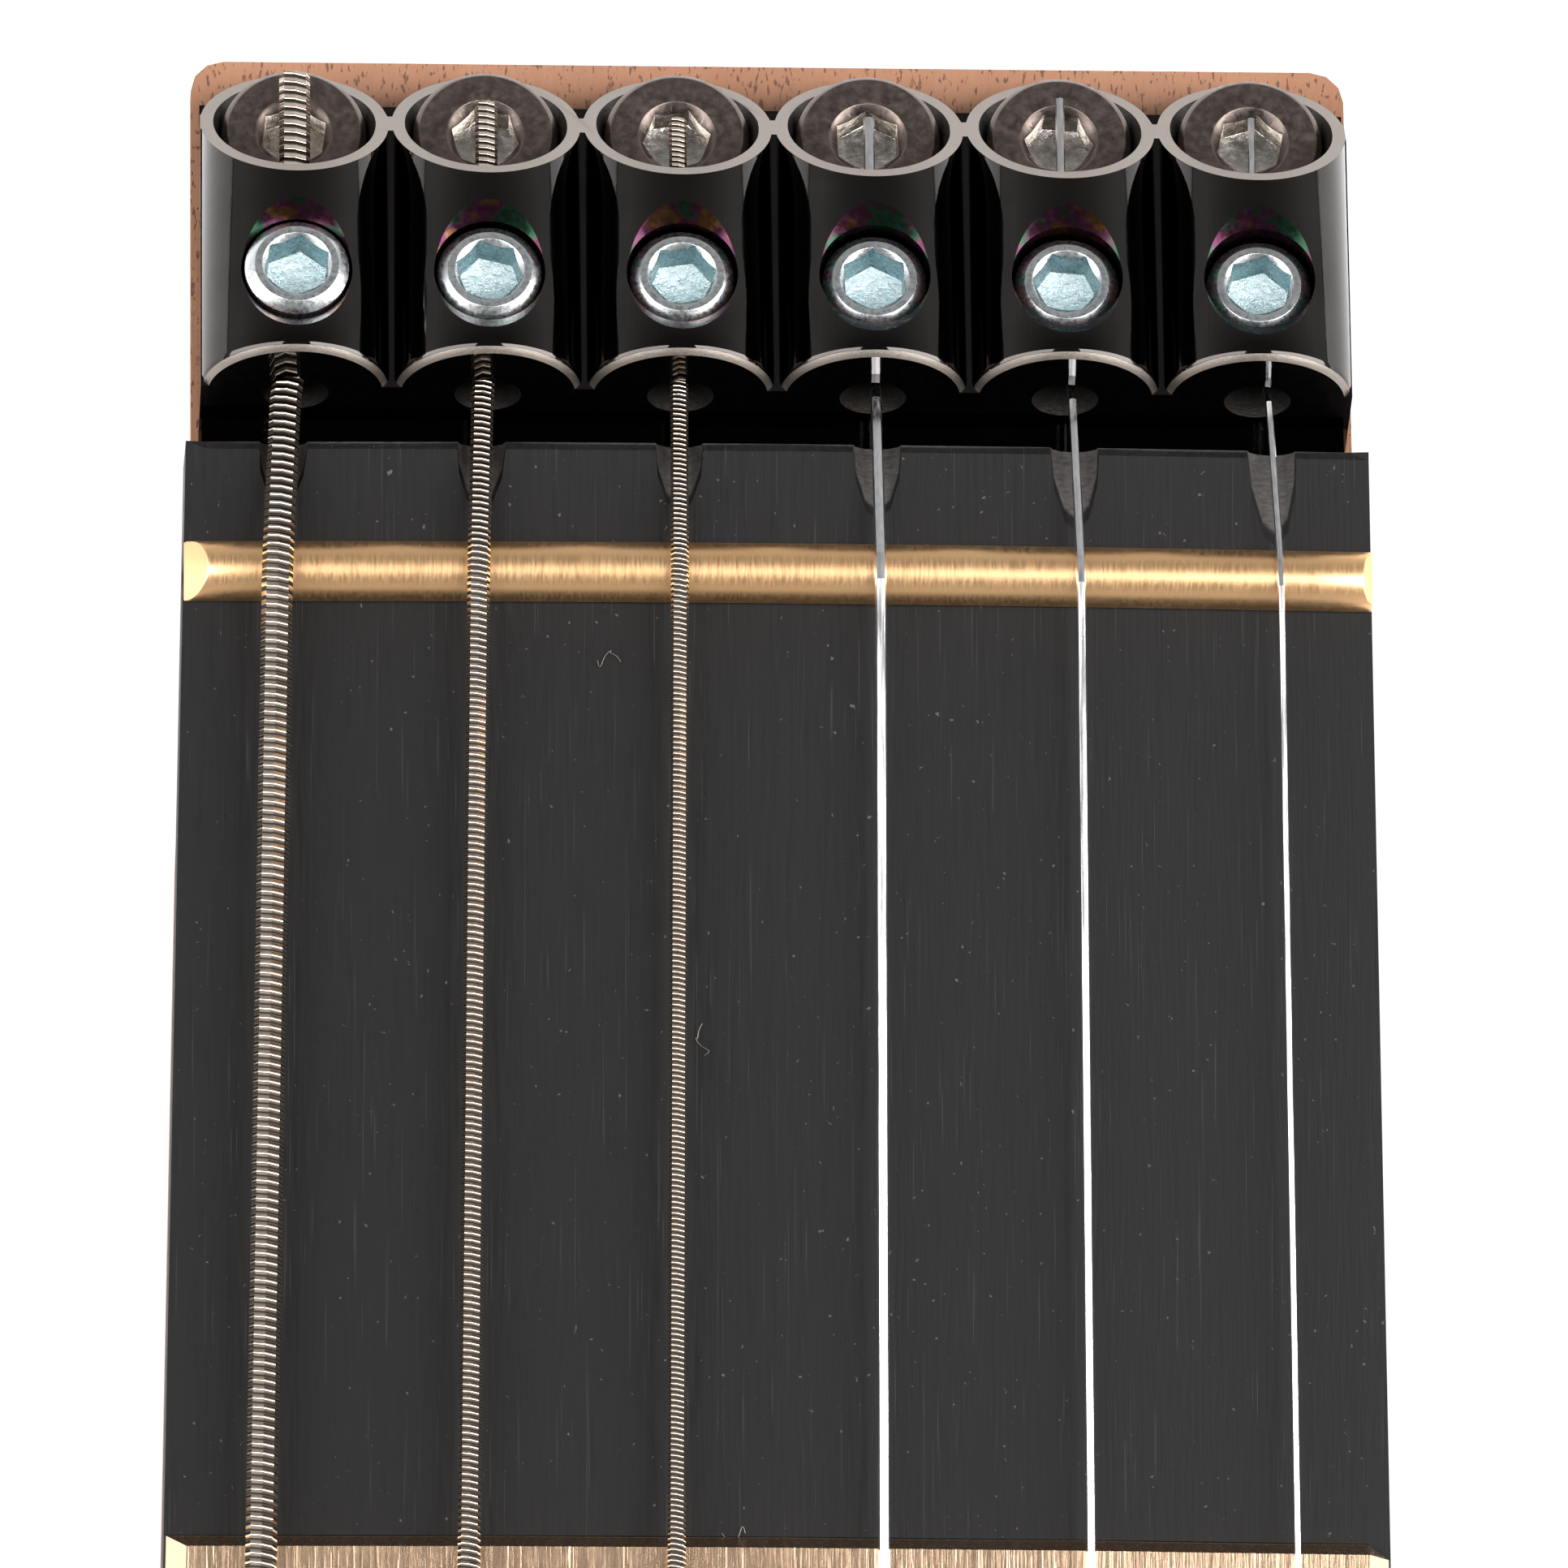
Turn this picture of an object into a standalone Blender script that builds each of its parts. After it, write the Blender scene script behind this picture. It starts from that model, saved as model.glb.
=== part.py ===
"""A headless solid-body electric guitar, lying on its back with its neck along +Y.

The origin is on the body's back face, on the centreline, under the line where the scale ends.
X runs across the strings, with the lowest string at -X. All sizes are in metres.
"""

import math

import bmesh
import bpy
from mathutils import Matrix, Vector

# Scale and strings, from the lowest string to the highest
SCALE_LENGTH = 0.6477
STRING_DIAMETERS = (0.00112, 0.00081, 0.00064, 0.00041, 0.00033, 0.00025)
NUT_STRING_SPACING = 0.00722
BRIDGE_STRING_SPACING = 0.0104
BRIDGE_STRING_RISE = 0.0025

# Clearances
SEAT_GAP = 0.0001
RUN_GAP = 0.00025
FIT_GAP = 0.0004

# Neck and fretboard
BOARD_WIDTH = 0.0428
BOARD_WIDTH_AT_SCALE_END = 0.0619
BOARD_THICKNESS = 0.0052
BOARD_RADIUS = 0.406
BOARD_OVERHANG = 0.00485
BOARD_TAIL = 0.006
BOARD_RISE = 0.0095
BOARD_LIP = 0.00015
FRET_COUNT = 24
FRET_WIDTH = 0.0024
FRET_HEIGHT = 0.0011
FRET_END_BEVEL = 0.0008
ZERO_FRET_WIDTH = 0.0022
ZERO_FRET_HEIGHT = 0.00125
FRET_TANG_WIDTH = 0.0005
FRET_TANG_DEPTH = 0.0015
NOTCH_RADIUS = 0.0009
NECK_DEPTH = 0.0145
NECK_DEPTH_AT_HEEL = 0.0170
NECK_SHOULDER = 0.0016
HEEL_DEPTH = 0.0195
HEEL_LENGTH = 0.066
HEEL_SLOPE = 0.024
NOSE_LENGTH = 0.0168
NOSE_DEPTH = 0.0125
NOSE_WIDTH = 0.0421
NOSE_CORNER = 0.0012

# Truss rod and its wheel
ROD_WIDTH = 0.006
ROD_DEPTH = 0.009
ROD_HEAD_MARGIN = 0.012
ROD_HEEL_MARGIN = 0.0025
WHEEL_RADIUS = 0.0055
WHEEL_WIDTH = 0.004
WHEEL_STUB_RADIUS = 0.002
WHEEL_HOLE_RADIUS = 0.0009

# Headpiece, in its own frame: y from its front face towards the head, z from its base
HEAD_TILT = math.radians(15.0)
HEAD_SETBACK = 0.001035
BARREL_PITCH = 0.00695
BARREL_RADIUS = 0.003415
BARREL_AXIS_HEIGHT = 0.00395
BARREL_BORE_RADIUS = 0.00295
CREST_LENGTH = 0.00726
MOUTH_ANGLE = math.radians(48.0)
BORE_START = 0.0066
VALLEY_ANGLE = math.radians(8.0)
STRING_HOLE_RADIUS = 0.0012
CLAMP_PLACE = 0.00356
CLAMP_HOLE_RADIUS = 0.00201
CLAMP_SINK_RADIUS = 0.00265
CLAMP_SCREW_RADIUS = 0.00188
CLAMP_SCREW_LENGTH = 0.0031
CLAMP_SOCKET = 0.0020
CLAMP_SOCKET_DEPTH = 0.0016
MOUNT_PLACE = 0.0110
MOUNT_HEAD_RADIUS = 0.00265
MOUNT_HEAD_HEIGHT = 0.0022
MOUNT_HEAD_DROP = 0.0006
MOUNT_SHANK_RADIUS = 0.0014
MOUNT_SHANK_LENGTH = 0.0075
MOUNT_SOCKET = 0.00215
MOUNT_SOCKET_DEPTH = 0.0013
STRING_TAILS = (0.0127, 0.0117, 0.0112, 0.0114, 0.0123, 0.0116)

# Body
BODY_THICKNESS = 0.042
BODY_ROUNDING = 0.005
BODY_OUTLINE = (
    (0.000, -0.050),
    (0.034, -0.056),
    (0.072, -0.096),
    (0.128, -0.078),
    (0.152, -0.020),
    (0.120, 0.066),
    (0.105, 0.125),
    (0.122, 0.192),
    (0.116, 0.244),
    (0.094, 0.264),
    (0.070, 0.238),
    (0.044, 0.208),
    (0.000, 0.212),
    (-0.044, 0.222),
    (-0.070, 0.262),
    (-0.096, 0.306),
    (-0.124, 0.286),
    (-0.130, 0.212),
    (-0.109, 0.132),
    (-0.128, 0.060),
    (-0.158, -0.016),
    (-0.136, -0.080),
    (-0.078, -0.102),
    (-0.036, -0.057),
)
OUTLINE_STEPS = 4
ARM_BEVEL_DEPTH = 0.013
ARM_BEVEL_WIDTH = 0.060
BELLY_CUT_DEPTH = 0.012
BELLY_CUT_WIDTH = 0.050

# Neck bolts
BOLT_SPREAD = 0.038
BOLT_MARGIN = 0.014
BOLT_ROW_GAP = 0.026
BOLT_HEAD_RADIUS = 0.0045
BOLT_HEAD_HEIGHT = 0.003
BOLT_HEAD_SINK = 0.0006
BOLT_RADIUS = 0.0022
BOLT_BITE = 0.014

# Pickups
PICKUP_WIDTH = 0.069
PICKUP_LENGTH = 0.0375
PICKUP_HEIGHT = 0.020
PICKUP_RISE = 0.0075
PICKUP_CORNER = 0.003
BRIDGE_PICKUP_PLACE = 0.037
NECK_PICKUP_PLACE = 0.128
POLE_RADIUS = 0.0022
POLE_HEIGHT = 0.0008
COIL_SPACING = 0.018

# Bridge
PLATE_THICKNESS = 0.003
PLATE_FRONT = 0.012
PLATE_REAR = 0.050
REAR_WALL = 0.006
REAR_WALL_HEIGHT = 0.0098
SIDE_WALL = 0.003
SIDE_WALL_HEIGHT = 0.0065
SIDE_GAP = 0.0008
SADDLE_WIDTH = 0.0092
SADDLE_FRONT = 0.0045
SADDLE_REAR = 0.0075
TUNER_HEIGHT = 0.005
CARRIAGE_WIDTH = 0.0086
CARRIAGE_HEIGHT = 0.0088
CARRIAGE_LENGTH = 0.020
CARRIAGE_CORNER = 0.001
CARRIAGE_PLACE = 0.017
STRING_POCKET_RADIUS = 0.0024
STRING_POCKET_DEPTH = 0.008
STRING_END_DEPTH = 0.0035
SHAFT_RADIUS = 0.0019
SHAFT_BITE = 0.006
SHAFT_POCKET_DEPTH = 0.010
KNOB_RADIUS = 0.0047
KNOB_LENGTH = 0.0115
KNURL_DEPTH = 0.0003

# Controls, in a cavity behind the treble side
CAVITY_CENTRE = (0.092, -0.005)
CAVITY_WIDTH = 0.054
CAVITY_LENGTH = 0.108
CAVITY_CORNER = 0.010
CAVITY_ROOF = 0.0045
COVER_THICKNESS = 0.0016
COVER_LIP = 0.004
VOLUME_PLACE = (0.094, 0.002)
TONE_PLACE = (0.096, -0.036)
SWITCH_PLACE = (0.090, 0.034)
POT_RADIUS = 0.0083
POT_HEIGHT = 0.0085
BUSH_RADIUS = 0.0036
BUSH_RISE = 0.004
POT_NUT_RADIUS = 0.0058
POT_NUT_HEIGHT = 0.002
POT_SHAFT_RADIUS = 0.0024
DIAL_RADIUS = 0.0090
DIAL_HEIGHT = 0.0150
DIAL_WALL = 0.0020
SWITCH_NUT_RADIUS = 0.0075
SWITCH_NUT_HEIGHT = 0.0025
SWITCH_BUSH_RADIUS = 0.0055
SWITCH_BOX = 0.013
SWITCH_DEPTH = 0.016
SWITCH_THROW = math.radians(12.0)
LEVER_RADIUS = 0.0013
LEVER_TIP_RADIUS = 0.0032
LEVER_LENGTH = 0.017

# Output jack and strap buttons
JACK_PLACE_Y = -0.040
JACK_HEIGHT = 0.021
JACK_RADIUS = 0.0055
JACK_BORE_RADIUS = 0.0033
JACK_LENGTH = 0.030
JACK_FLANGE_RADIUS = 0.0095
JACK_FLANGE = 0.002
JACK_SINK = 0.003
STRAP_RADIUS = 0.0070
STRAP_WAIST_RADIUS = 0.0042
STRAP_LENGTH = 0.0125
STRAP_SCREW_RADIUS = 0.0016
STRAP_SCREW_LENGTH = 0.014
HORN_BUTTON_X = -0.100
TAIL_BUTTON_X = -0.090

ROUND = 20
MEDIUM_ROUND = 16
SMALL_ROUND = 10
LONG = 1.0

STRINGS = range(len(STRING_DIAMETERS))
NUT_Y = SCALE_LENGTH
BOARD_TOP = BODY_THICKNESS + BOARD_RISE
NECK_TOP = BOARD_TOP - BOARD_THICKNESS
BOARD_HEAD_Y = NUT_Y + BOARD_OVERHANG
PLATE_TOP = BODY_THICKNESS + SEAT_GAP + PLATE_THICKNESS
TUNER_Z = PLATE_TOP + TUNER_HEIGHT
CREST_HEIGHT = BARREL_AXIS_HEIGHT + BARREL_RADIUS
MOUNT_HEAD_TOP = BARREL_AXIS_HEIGHT - MOUNT_HEAD_DROP
HALF_HEAD = (len(STRING_DIAMETERS) - 1) / 2 * BARREL_PITCH + BARREL_RADIUS


def centred(index, spacing):
    """The place across the neck of one of a row of evenly spaced things."""
    return (index - (len(STRING_DIAMETERS) - 1) / 2) * spacing


def fret_y(number):
    return SCALE_LENGTH / 2 ** (number / 12)


BOARD_TAIL_Y = fret_y(FRET_COUNT) - BOARD_TAIL


def board_width(y):
    return BOARD_WIDTH_AT_SCALE_END + (BOARD_WIDTH - BOARD_WIDTH_AT_SCALE_END) * y / NUT_Y


def crown_drop(x):
    """How far the fretboard's curved surface lies below its middle line."""
    return x * x / (2 * BOARD_RADIUS)


def head_point(x, y, z):
    """A point of the headpiece's own frame, in the guitar's frame."""
    along = HEAD_SETBACK + y
    rise = z + SEAT_GAP
    world_y = BOARD_HEAD_Y + along * math.cos(HEAD_TILT) + rise * math.sin(HEAD_TILT)
    world_z = NECK_TOP - along * math.sin(HEAD_TILT) + rise * math.cos(HEAD_TILT)
    return Vector((x, world_y, world_z))


def clear_scene():
    for found in list(bpy.data.objects):
        bpy.data.objects.remove(found, do_unlink=True)


clear_scene()
parts = bpy.data.collections.new("electric_guitar")
cutters = bpy.data.collections.new("cutters")
bpy.context.scene.collection.children.link(parts)
bpy.context.scene.collection.children.link(cutters)


def make_material(name, colour, roughness, metallic=0.0):
    made = bpy.data.materials.new(name)
    made.use_nodes = True
    surface = made.node_tree.nodes["Principled BSDF"]
    surface.inputs["Base Color"].default_value = (*colour, 1.0)
    surface.inputs["Roughness"].default_value = roughness
    surface.inputs["Metallic"].default_value = metallic
    made.diffuse_color = (*colour, 1.0)
    return made


ROASTED_MAPLE = make_material("roasted_maple", (0.50, 0.31, 0.20), 0.55)
EBONY = make_material("ebony", (0.018, 0.016, 0.016), 0.55)
FRET_WIRE = make_material("copper_fret_wire", (0.78, 0.50, 0.30), 0.28, 1.0)
BLACK_CHROME = make_material("black_chrome", (0.035, 0.030, 0.030), 0.12, 1.0)
ZINC = make_material("zinc_plated_steel", (0.62, 0.66, 0.72), 0.25, 1.0)
DARK_STEEL = make_material("dark_steel", (0.16, 0.14, 0.13), 0.40, 1.0)
WOUND_STRING = make_material("nickel_wound_string", (0.60, 0.55, 0.48), 0.32, 1.0)
PLAIN_STRING = make_material("plain_steel_string", (0.70, 0.70, 0.72), 0.20, 1.0)
BODY_FINISH = make_material("dark_walnut_finish", (0.105, 0.055, 0.030), 0.40)
BLACK_PLASTIC = make_material("black_plastic", (0.020, 0.020, 0.022), 0.45)


def add_object(name, data, material=None, location=(0, 0, 0), rotation=(0, 0, 0), parent=None):
    made = bpy.data.objects.new(name, data)
    made.location = location
    made.rotation_euler = rotation
    made.parent = parent
    if material is None:
        made.hide_render = True
        made.display_type = "WIRE"
        cutters.objects.link(made)
    else:
        data.materials.clear()
        data.materials.append(material)
        parts.objects.link(made)
    return made


def finished(name, work, smooth=True):
    """A mesh from a bmesh, its faces pointing out."""
    bmesh.ops.recalc_face_normals(work, faces=work.faces)
    mesh = bpy.data.meshes.new(name)
    work.to_mesh(mesh)
    work.free()
    if smooth:
        mesh.shade_smooth()
        mesh.set_sharp_from_angle(angle=math.radians(35))
    return mesh


def box_mesh(name, low, high):
    size = [b - a for a, b in zip(low, high)]
    middle = [(a + b) / 2 for a, b in zip(low, high)]
    work = bmesh.new()
    place = Matrix.Translation(middle) @ Matrix.Diagonal((*size, 1.0))
    bmesh.ops.create_cube(work, size=1.0, matrix=place)
    return finished(name, work, smooth=False)


def rounded_box_mesh(name, low, high, radius, axis=2, segments=4):
    """A box whose four edges along one axis are rounded."""
    size = [b - a for a, b in zip(low, high)]
    middle = [(a + b) / 2 for a, b in zip(low, high)]
    work = bmesh.new()
    place = Matrix.Translation(middle) @ Matrix.Diagonal((*size, 1.0))
    bmesh.ops.create_cube(work, size=1.0, matrix=place)
    edges = []
    for edge in work.edges:
        along = (edge.verts[0].co - edge.verts[1].co).normalized()
        if abs(along[axis]) > 0.99:
            edges.append(edge)
    bmesh.ops.bevel(work, geom=edges, offset=radius, segments=segments, affect="EDGES", profile=0.5)
    return finished(name, work)


def cylinder_mesh(name, radius, low, high, segments=ROUND, top_radius=None):
    work = bmesh.new()
    bmesh.ops.create_cone(
        work,
        cap_ends=True,
        segments=segments,
        radius1=radius,
        radius2=radius if top_radius is None else top_radius,
        depth=high - low,
        matrix=Matrix.Translation((0, 0, (low + high) / 2)),
    )
    return finished(name, work)


def hexagon_mesh(name, across_flats, low, high):
    return cylinder_mesh(name, across_flats / math.sqrt(3), low, high, segments=6)


def loft_mesh(name, rings, smooth=True):
    """A closed solid through rings of points, with a flat cap at each end."""
    work = bmesh.new()
    loops = [[work.verts.new(point) for point in ring] for ring in rings]
    for near, far in zip(loops, loops[1:]):
        for start in range(len(near)):
            end = (start + 1) % len(near)
            work.faces.new((near[start], near[end], far[end], far[start]))
    work.faces.new(list(reversed(loops[0])))
    work.faces.new(loops[-1])
    return finished(name, work, smooth)


def turned(name, profile, material, segments=ROUND, **place):
    """A profile of (radius, height) points from top to bottom, turned about Z."""
    mesh = bpy.data.meshes.new(name)
    edges = [(i, i + 1) for i in range(len(profile) - 1)]
    mesh.from_pydata([(r, 0.0, z) for r, z in profile], edges, [])
    made = add_object(name, mesh, material, **place)
    screw = made.modifiers.new("turn", "SCREW")
    screw.steps = segments
    screw.render_steps = segments
    screw.use_merge_vertices = True
    screw.merge_threshold = 0.00001
    screw.use_smooth_shade = True
    return made


def cut(target, cutter, operation="DIFFERENCE"):
    step = target.modifiers.new(cutter.name, "BOOLEAN")
    step.operation = operation
    step.solver = "EXACT"
    step.object = cutter
    return step


def baked_mesh(target, name):
    """The mesh that an object's modifiers give; the object itself is removed."""
    bpy.context.view_layer.update()
    graph = bpy.context.evaluated_depsgraph_get()
    mesh = bpy.data.meshes.new_from_object(target.evaluated_get(graph))
    mesh.name = name
    bpy.data.objects.remove(target, do_unlink=True)
    work = bmesh.new()
    work.from_mesh(mesh)
    bmesh.ops.remove_doubles(work, verts=work.verts, dist=0.0000005)
    work.to_mesh(mesh)
    work.free()
    return mesh


def tube(name, points, radius, material):
    """A round wire along points."""
    curve = bpy.data.curves.new(name, "CURVE")
    curve.dimensions = "3D"
    curve.bevel_depth = radius
    curve.bevel_resolution = 2
    curve.use_fill_caps = True
    spline = curve.splines.new("POLY")
    spline.points.add(len(points) - 1)
    for slot, point in zip(spline.points, points):
        slot.co = (*point, 1.0)
    spline.use_smooth = True
    return add_object(name, curve, material)


def softened(points, reach, steps=1):
    """A route whose corners are rounded over a short reach on each side."""
    route = [points[0]]
    for before, corner, after in zip(points, points[1:], points[2:]):
        entry = corner + (before - corner).normalized() * min(reach, (before - corner).length / 2.2)
        leave = corner + (after - corner).normalized() * min(reach, (after - corner).length / 2.2)
        for step in range(steps + 1):
            t = step / steps
            route.append(entry * (1 - t) ** 2 + corner * 2 * t * (1 - t) + leave * t**2)
    route.append(points[-1])
    return route


def neck_ring(y, half_width, top, depth, power):
    """One section of the neck: a flat top, short upright shoulders and a rounded back."""
    ring = [Vector((-half_width, y, top)), Vector((half_width, y, top))]
    count = 12
    shoulder = min(NECK_SHOULDER, depth / 4)
    for step in range(count + 1):
        angle = math.pi * step / count
        side = math.cos(angle)
        x = math.copysign(abs(side) ** (2 / power), side) * half_width
        z = top - shoulder - (depth - shoulder) * math.sin(angle) ** (2 / power)
        ring.append(Vector((x, y, z)))
    return ring


def make_neck():
    nose_drop = math.tan(HEAD_TILT)
    nose_end = BOARD_HEAD_Y + NOSE_LENGTH * math.cos(HEAD_TILT)
    heel_end = BOARD_TAIL_Y
    heel_front = heel_end + HEEL_LENGTH
    nose_half = NOSE_WIDTH / 2
    rings = []
    for step in range(4):
        turn = math.radians(90 - 30 * step)
        y = nose_end - NOSE_CORNER + NOSE_CORNER * math.sin(turn)
        half = nose_half - NOSE_CORNER + NOSE_CORNER * math.cos(turn)
        rings.append(neck_ring(y, half, NECK_TOP - (y - BOARD_HEAD_Y) * nose_drop, NOSE_DEPTH, 4.5))
    rings.append(neck_ring(BOARD_HEAD_Y, nose_half, NECK_TOP, NOSE_DEPTH + 0.001, 3.6))
    rings.append(neck_ring(NUT_Y - 0.010, board_width(NUT_Y - 0.010) / 2, NECK_TOP, NECK_DEPTH, 2.5))
    middle = (NUT_Y + heel_front) / 2
    thick = NECK_DEPTH_AT_HEEL
    rings.append(neck_ring(middle, board_width(middle) / 2, NECK_TOP, (NECK_DEPTH + thick) / 2, 2.3))
    slope_y = heel_front + HEEL_SLOPE
    rings.append(neck_ring(slope_y, board_width(slope_y) / 2, NECK_TOP, thick, 2.5))
    rings.append(neck_ring(heel_front, board_width(heel_front) / 2, NECK_TOP, HEEL_DEPTH, 12))
    rings.append(neck_ring(heel_end, board_width(heel_end) / 2, NECK_TOP, HEEL_DEPTH, 12))
    neck = add_object("neck", loft_mesh("neck", rings), ROASTED_MAPLE)
    channel_end = BOARD_HEAD_Y - ROD_HEAD_MARGIN + FIT_GAP
    half = ROD_WIDTH / 2 + RUN_GAP
    low = (-half, heel_end - FIT_GAP, NECK_TOP - ROD_DEPTH - 2 * RUN_GAP)
    high = (half, channel_end, NECK_TOP + FIT_GAP)
    cut(neck, add_object("rod_channel", box_mesh("rod_channel", low, high)))
    return neck


def make_truss_rod():
    top = NECK_TOP - RUN_GAP
    low = (-ROD_WIDTH / 2, BOARD_TAIL_Y + ROD_HEEL_MARGIN, top - ROD_DEPTH)
    high = (ROD_WIDTH / 2, BOARD_HEAD_Y - ROD_HEAD_MARGIN, top)
    mesh = rounded_box_mesh("truss_rod", low, high, ROD_WIDTH / 6, axis=1, segments=2)
    add_object("truss_rod", mesh, DARK_STEEL)
    middle = top - ROD_DEPTH / 2
    face = BOARD_TAIL_Y - FIT_GAP
    stub = ROD_HEEL_MARGIN
    profile = [
        (0.0, stub),
        (WHEEL_STUB_RADIUS, stub),
        (WHEEL_STUB_RADIUS, 0.0),
        (WHEEL_RADIUS, 0.0),
        (WHEEL_RADIUS, -WHEEL_WIDTH),
        (0.0, -WHEEL_WIDTH),
    ]
    wheel = turned(
        "truss_wheel", profile, DARK_STEEL, MEDIUM_ROUND, location=(0, face, middle),
        rotation=(-math.pi / 2, 0, 0),
    )
    for number in range(3):
        turn = math.pi * number / 3
        mesh = cylinder_mesh("wheel_hole", WHEEL_HOLE_RADIUS, -LONG / 20, LONG / 20, 6)
        hole = add_object(
            f"wheel_hole_{number + 1}", mesh, location=(0, -WHEEL_WIDTH / 2 + face, middle),
            rotation=(0, turn, 0),
        )
        cut(wheel, hole)


def board_ring(y, lift):
    """One section of the fretboard, its curved top raised where a fret stands."""
    half = board_width(y) / 2
    count = 4
    inner = half - FRET_END_BEVEL
    ring = [Vector((-half, y, BOARD_TOP - crown_drop(half)))]
    for step in range(count + 1):
        x = -inner + 2 * inner * step / count
        ring.append(Vector((x, y, BOARD_TOP + lift - crown_drop(x))))
    ring.append(Vector((half, y, BOARD_TOP - crown_drop(half))))
    ring.append(Vector((half, y, NECK_TOP + SEAT_GAP)))
    ring.append(Vector((-half, y, NECK_TOP + SEAT_GAP)))
    return ring


def string_over_nut(index):
    """The middle of a string where it crosses the zero fret."""
    x = centred(index, NUT_STRING_SPACING)
    rise = ZERO_FRET_HEIGHT + SEAT_GAP + STRING_DIAMETERS[index] / 2
    return Vector((x, NUT_Y, BOARD_TOP + rise - crown_drop(x)))


def string_entry(index):
    """The middle of a string where it enters the headpiece, drawn up against the hole's top edge."""
    x = (barrel_x(index) + centred(index, NUT_STRING_SPACING)) / 2
    hole_top = BARREL_AXIS_HEIGHT + STRING_HOLE_RADIUS
    return head_point(x, 0.0, hole_top - STRING_DIAMETERS[index] / 2 - 2 * SEAT_GAP)


def barrel_x(index):
    return centred(index, BARREL_PITCH)


def make_fretboard():
    rings = [board_ring(BOARD_HEAD_Y, -BOARD_LIP), board_ring(BOARD_HEAD_Y - 2 * BOARD_LIP, 0.0)]
    for number in range(1, FRET_COUNT + 1):
        y = fret_y(number)
        for offset, lift in ((0.5, 0.0), (0.25, FRET_HEIGHT), (-0.25, FRET_HEIGHT), (-0.5, 0.0)):
            rings.append(board_ring(y + offset * FRET_WIDTH, lift))
    rings.append(board_ring(BOARD_TAIL_Y, 0.0))
    board = add_object("fretboard", loft_mesh("fretboard", rings), EBONY)
    half = FRET_TANG_WIDTH / 2 + SEAT_GAP
    low = (-LONG, NUT_Y - half, BOARD_TOP - FRET_TANG_DEPTH - crown_drop(BOARD_WIDTH / 2) - SEAT_GAP)
    high = (LONG, NUT_Y + half, BOARD_TOP + FRET_HEIGHT)
    cut(board, add_object("fret_slot", box_mesh("fret_slot", low, high)))
    notch = cylinder_mesh("string_notch", NOTCH_RADIUS, -NUT_STRING_SPACING, NUT_STRING_SPACING, 12)
    for index in STRINGS:
        start = string_over_nut(index)
        way = string_entry(index) - start
        place = start + way * (BOARD_OVERHANG / way.y)
        place.z = BOARD_TOP - crown_drop(place.x)
        turn = way.to_track_quat("Z", "Y").to_euler()
        cut(board, add_object(f"string_notch_{index + 1}", notch, location=place, rotation=turn))


def make_zero_fret():
    half = board_width(NUT_Y) / 2
    stations = [-half, -half + FRET_END_BEVEL]
    stations += [-half + half * step / 3 for step in range(1, 6)]
    stations += [half - FRET_END_BEVEL, half]
    rings = []
    for x in stations:
        height = ZERO_FRET_HEIGHT * (0.3 if abs(x) == half else 1.0)
        seat = BOARD_TOP + SEAT_GAP - crown_drop(x)
        section = []
        for step in range(7):
            angle = math.pi * step / 6
            section.append((ZERO_FRET_WIDTH / 2 * math.cos(angle), (height - SEAT_GAP) * math.sin(angle)))
        tang = FRET_TANG_WIDTH / 2
        section += [(-tang, 0.0), (-tang, -FRET_TANG_DEPTH), (tang, -FRET_TANG_DEPTH), (tang, 0.0)]
        rings.append([Vector((x, NUT_Y + y, seat + z)) for y, z in section])
    add_object("zero_fret", loft_mesh("zero_fret", rings), FRET_WIRE)


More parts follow.
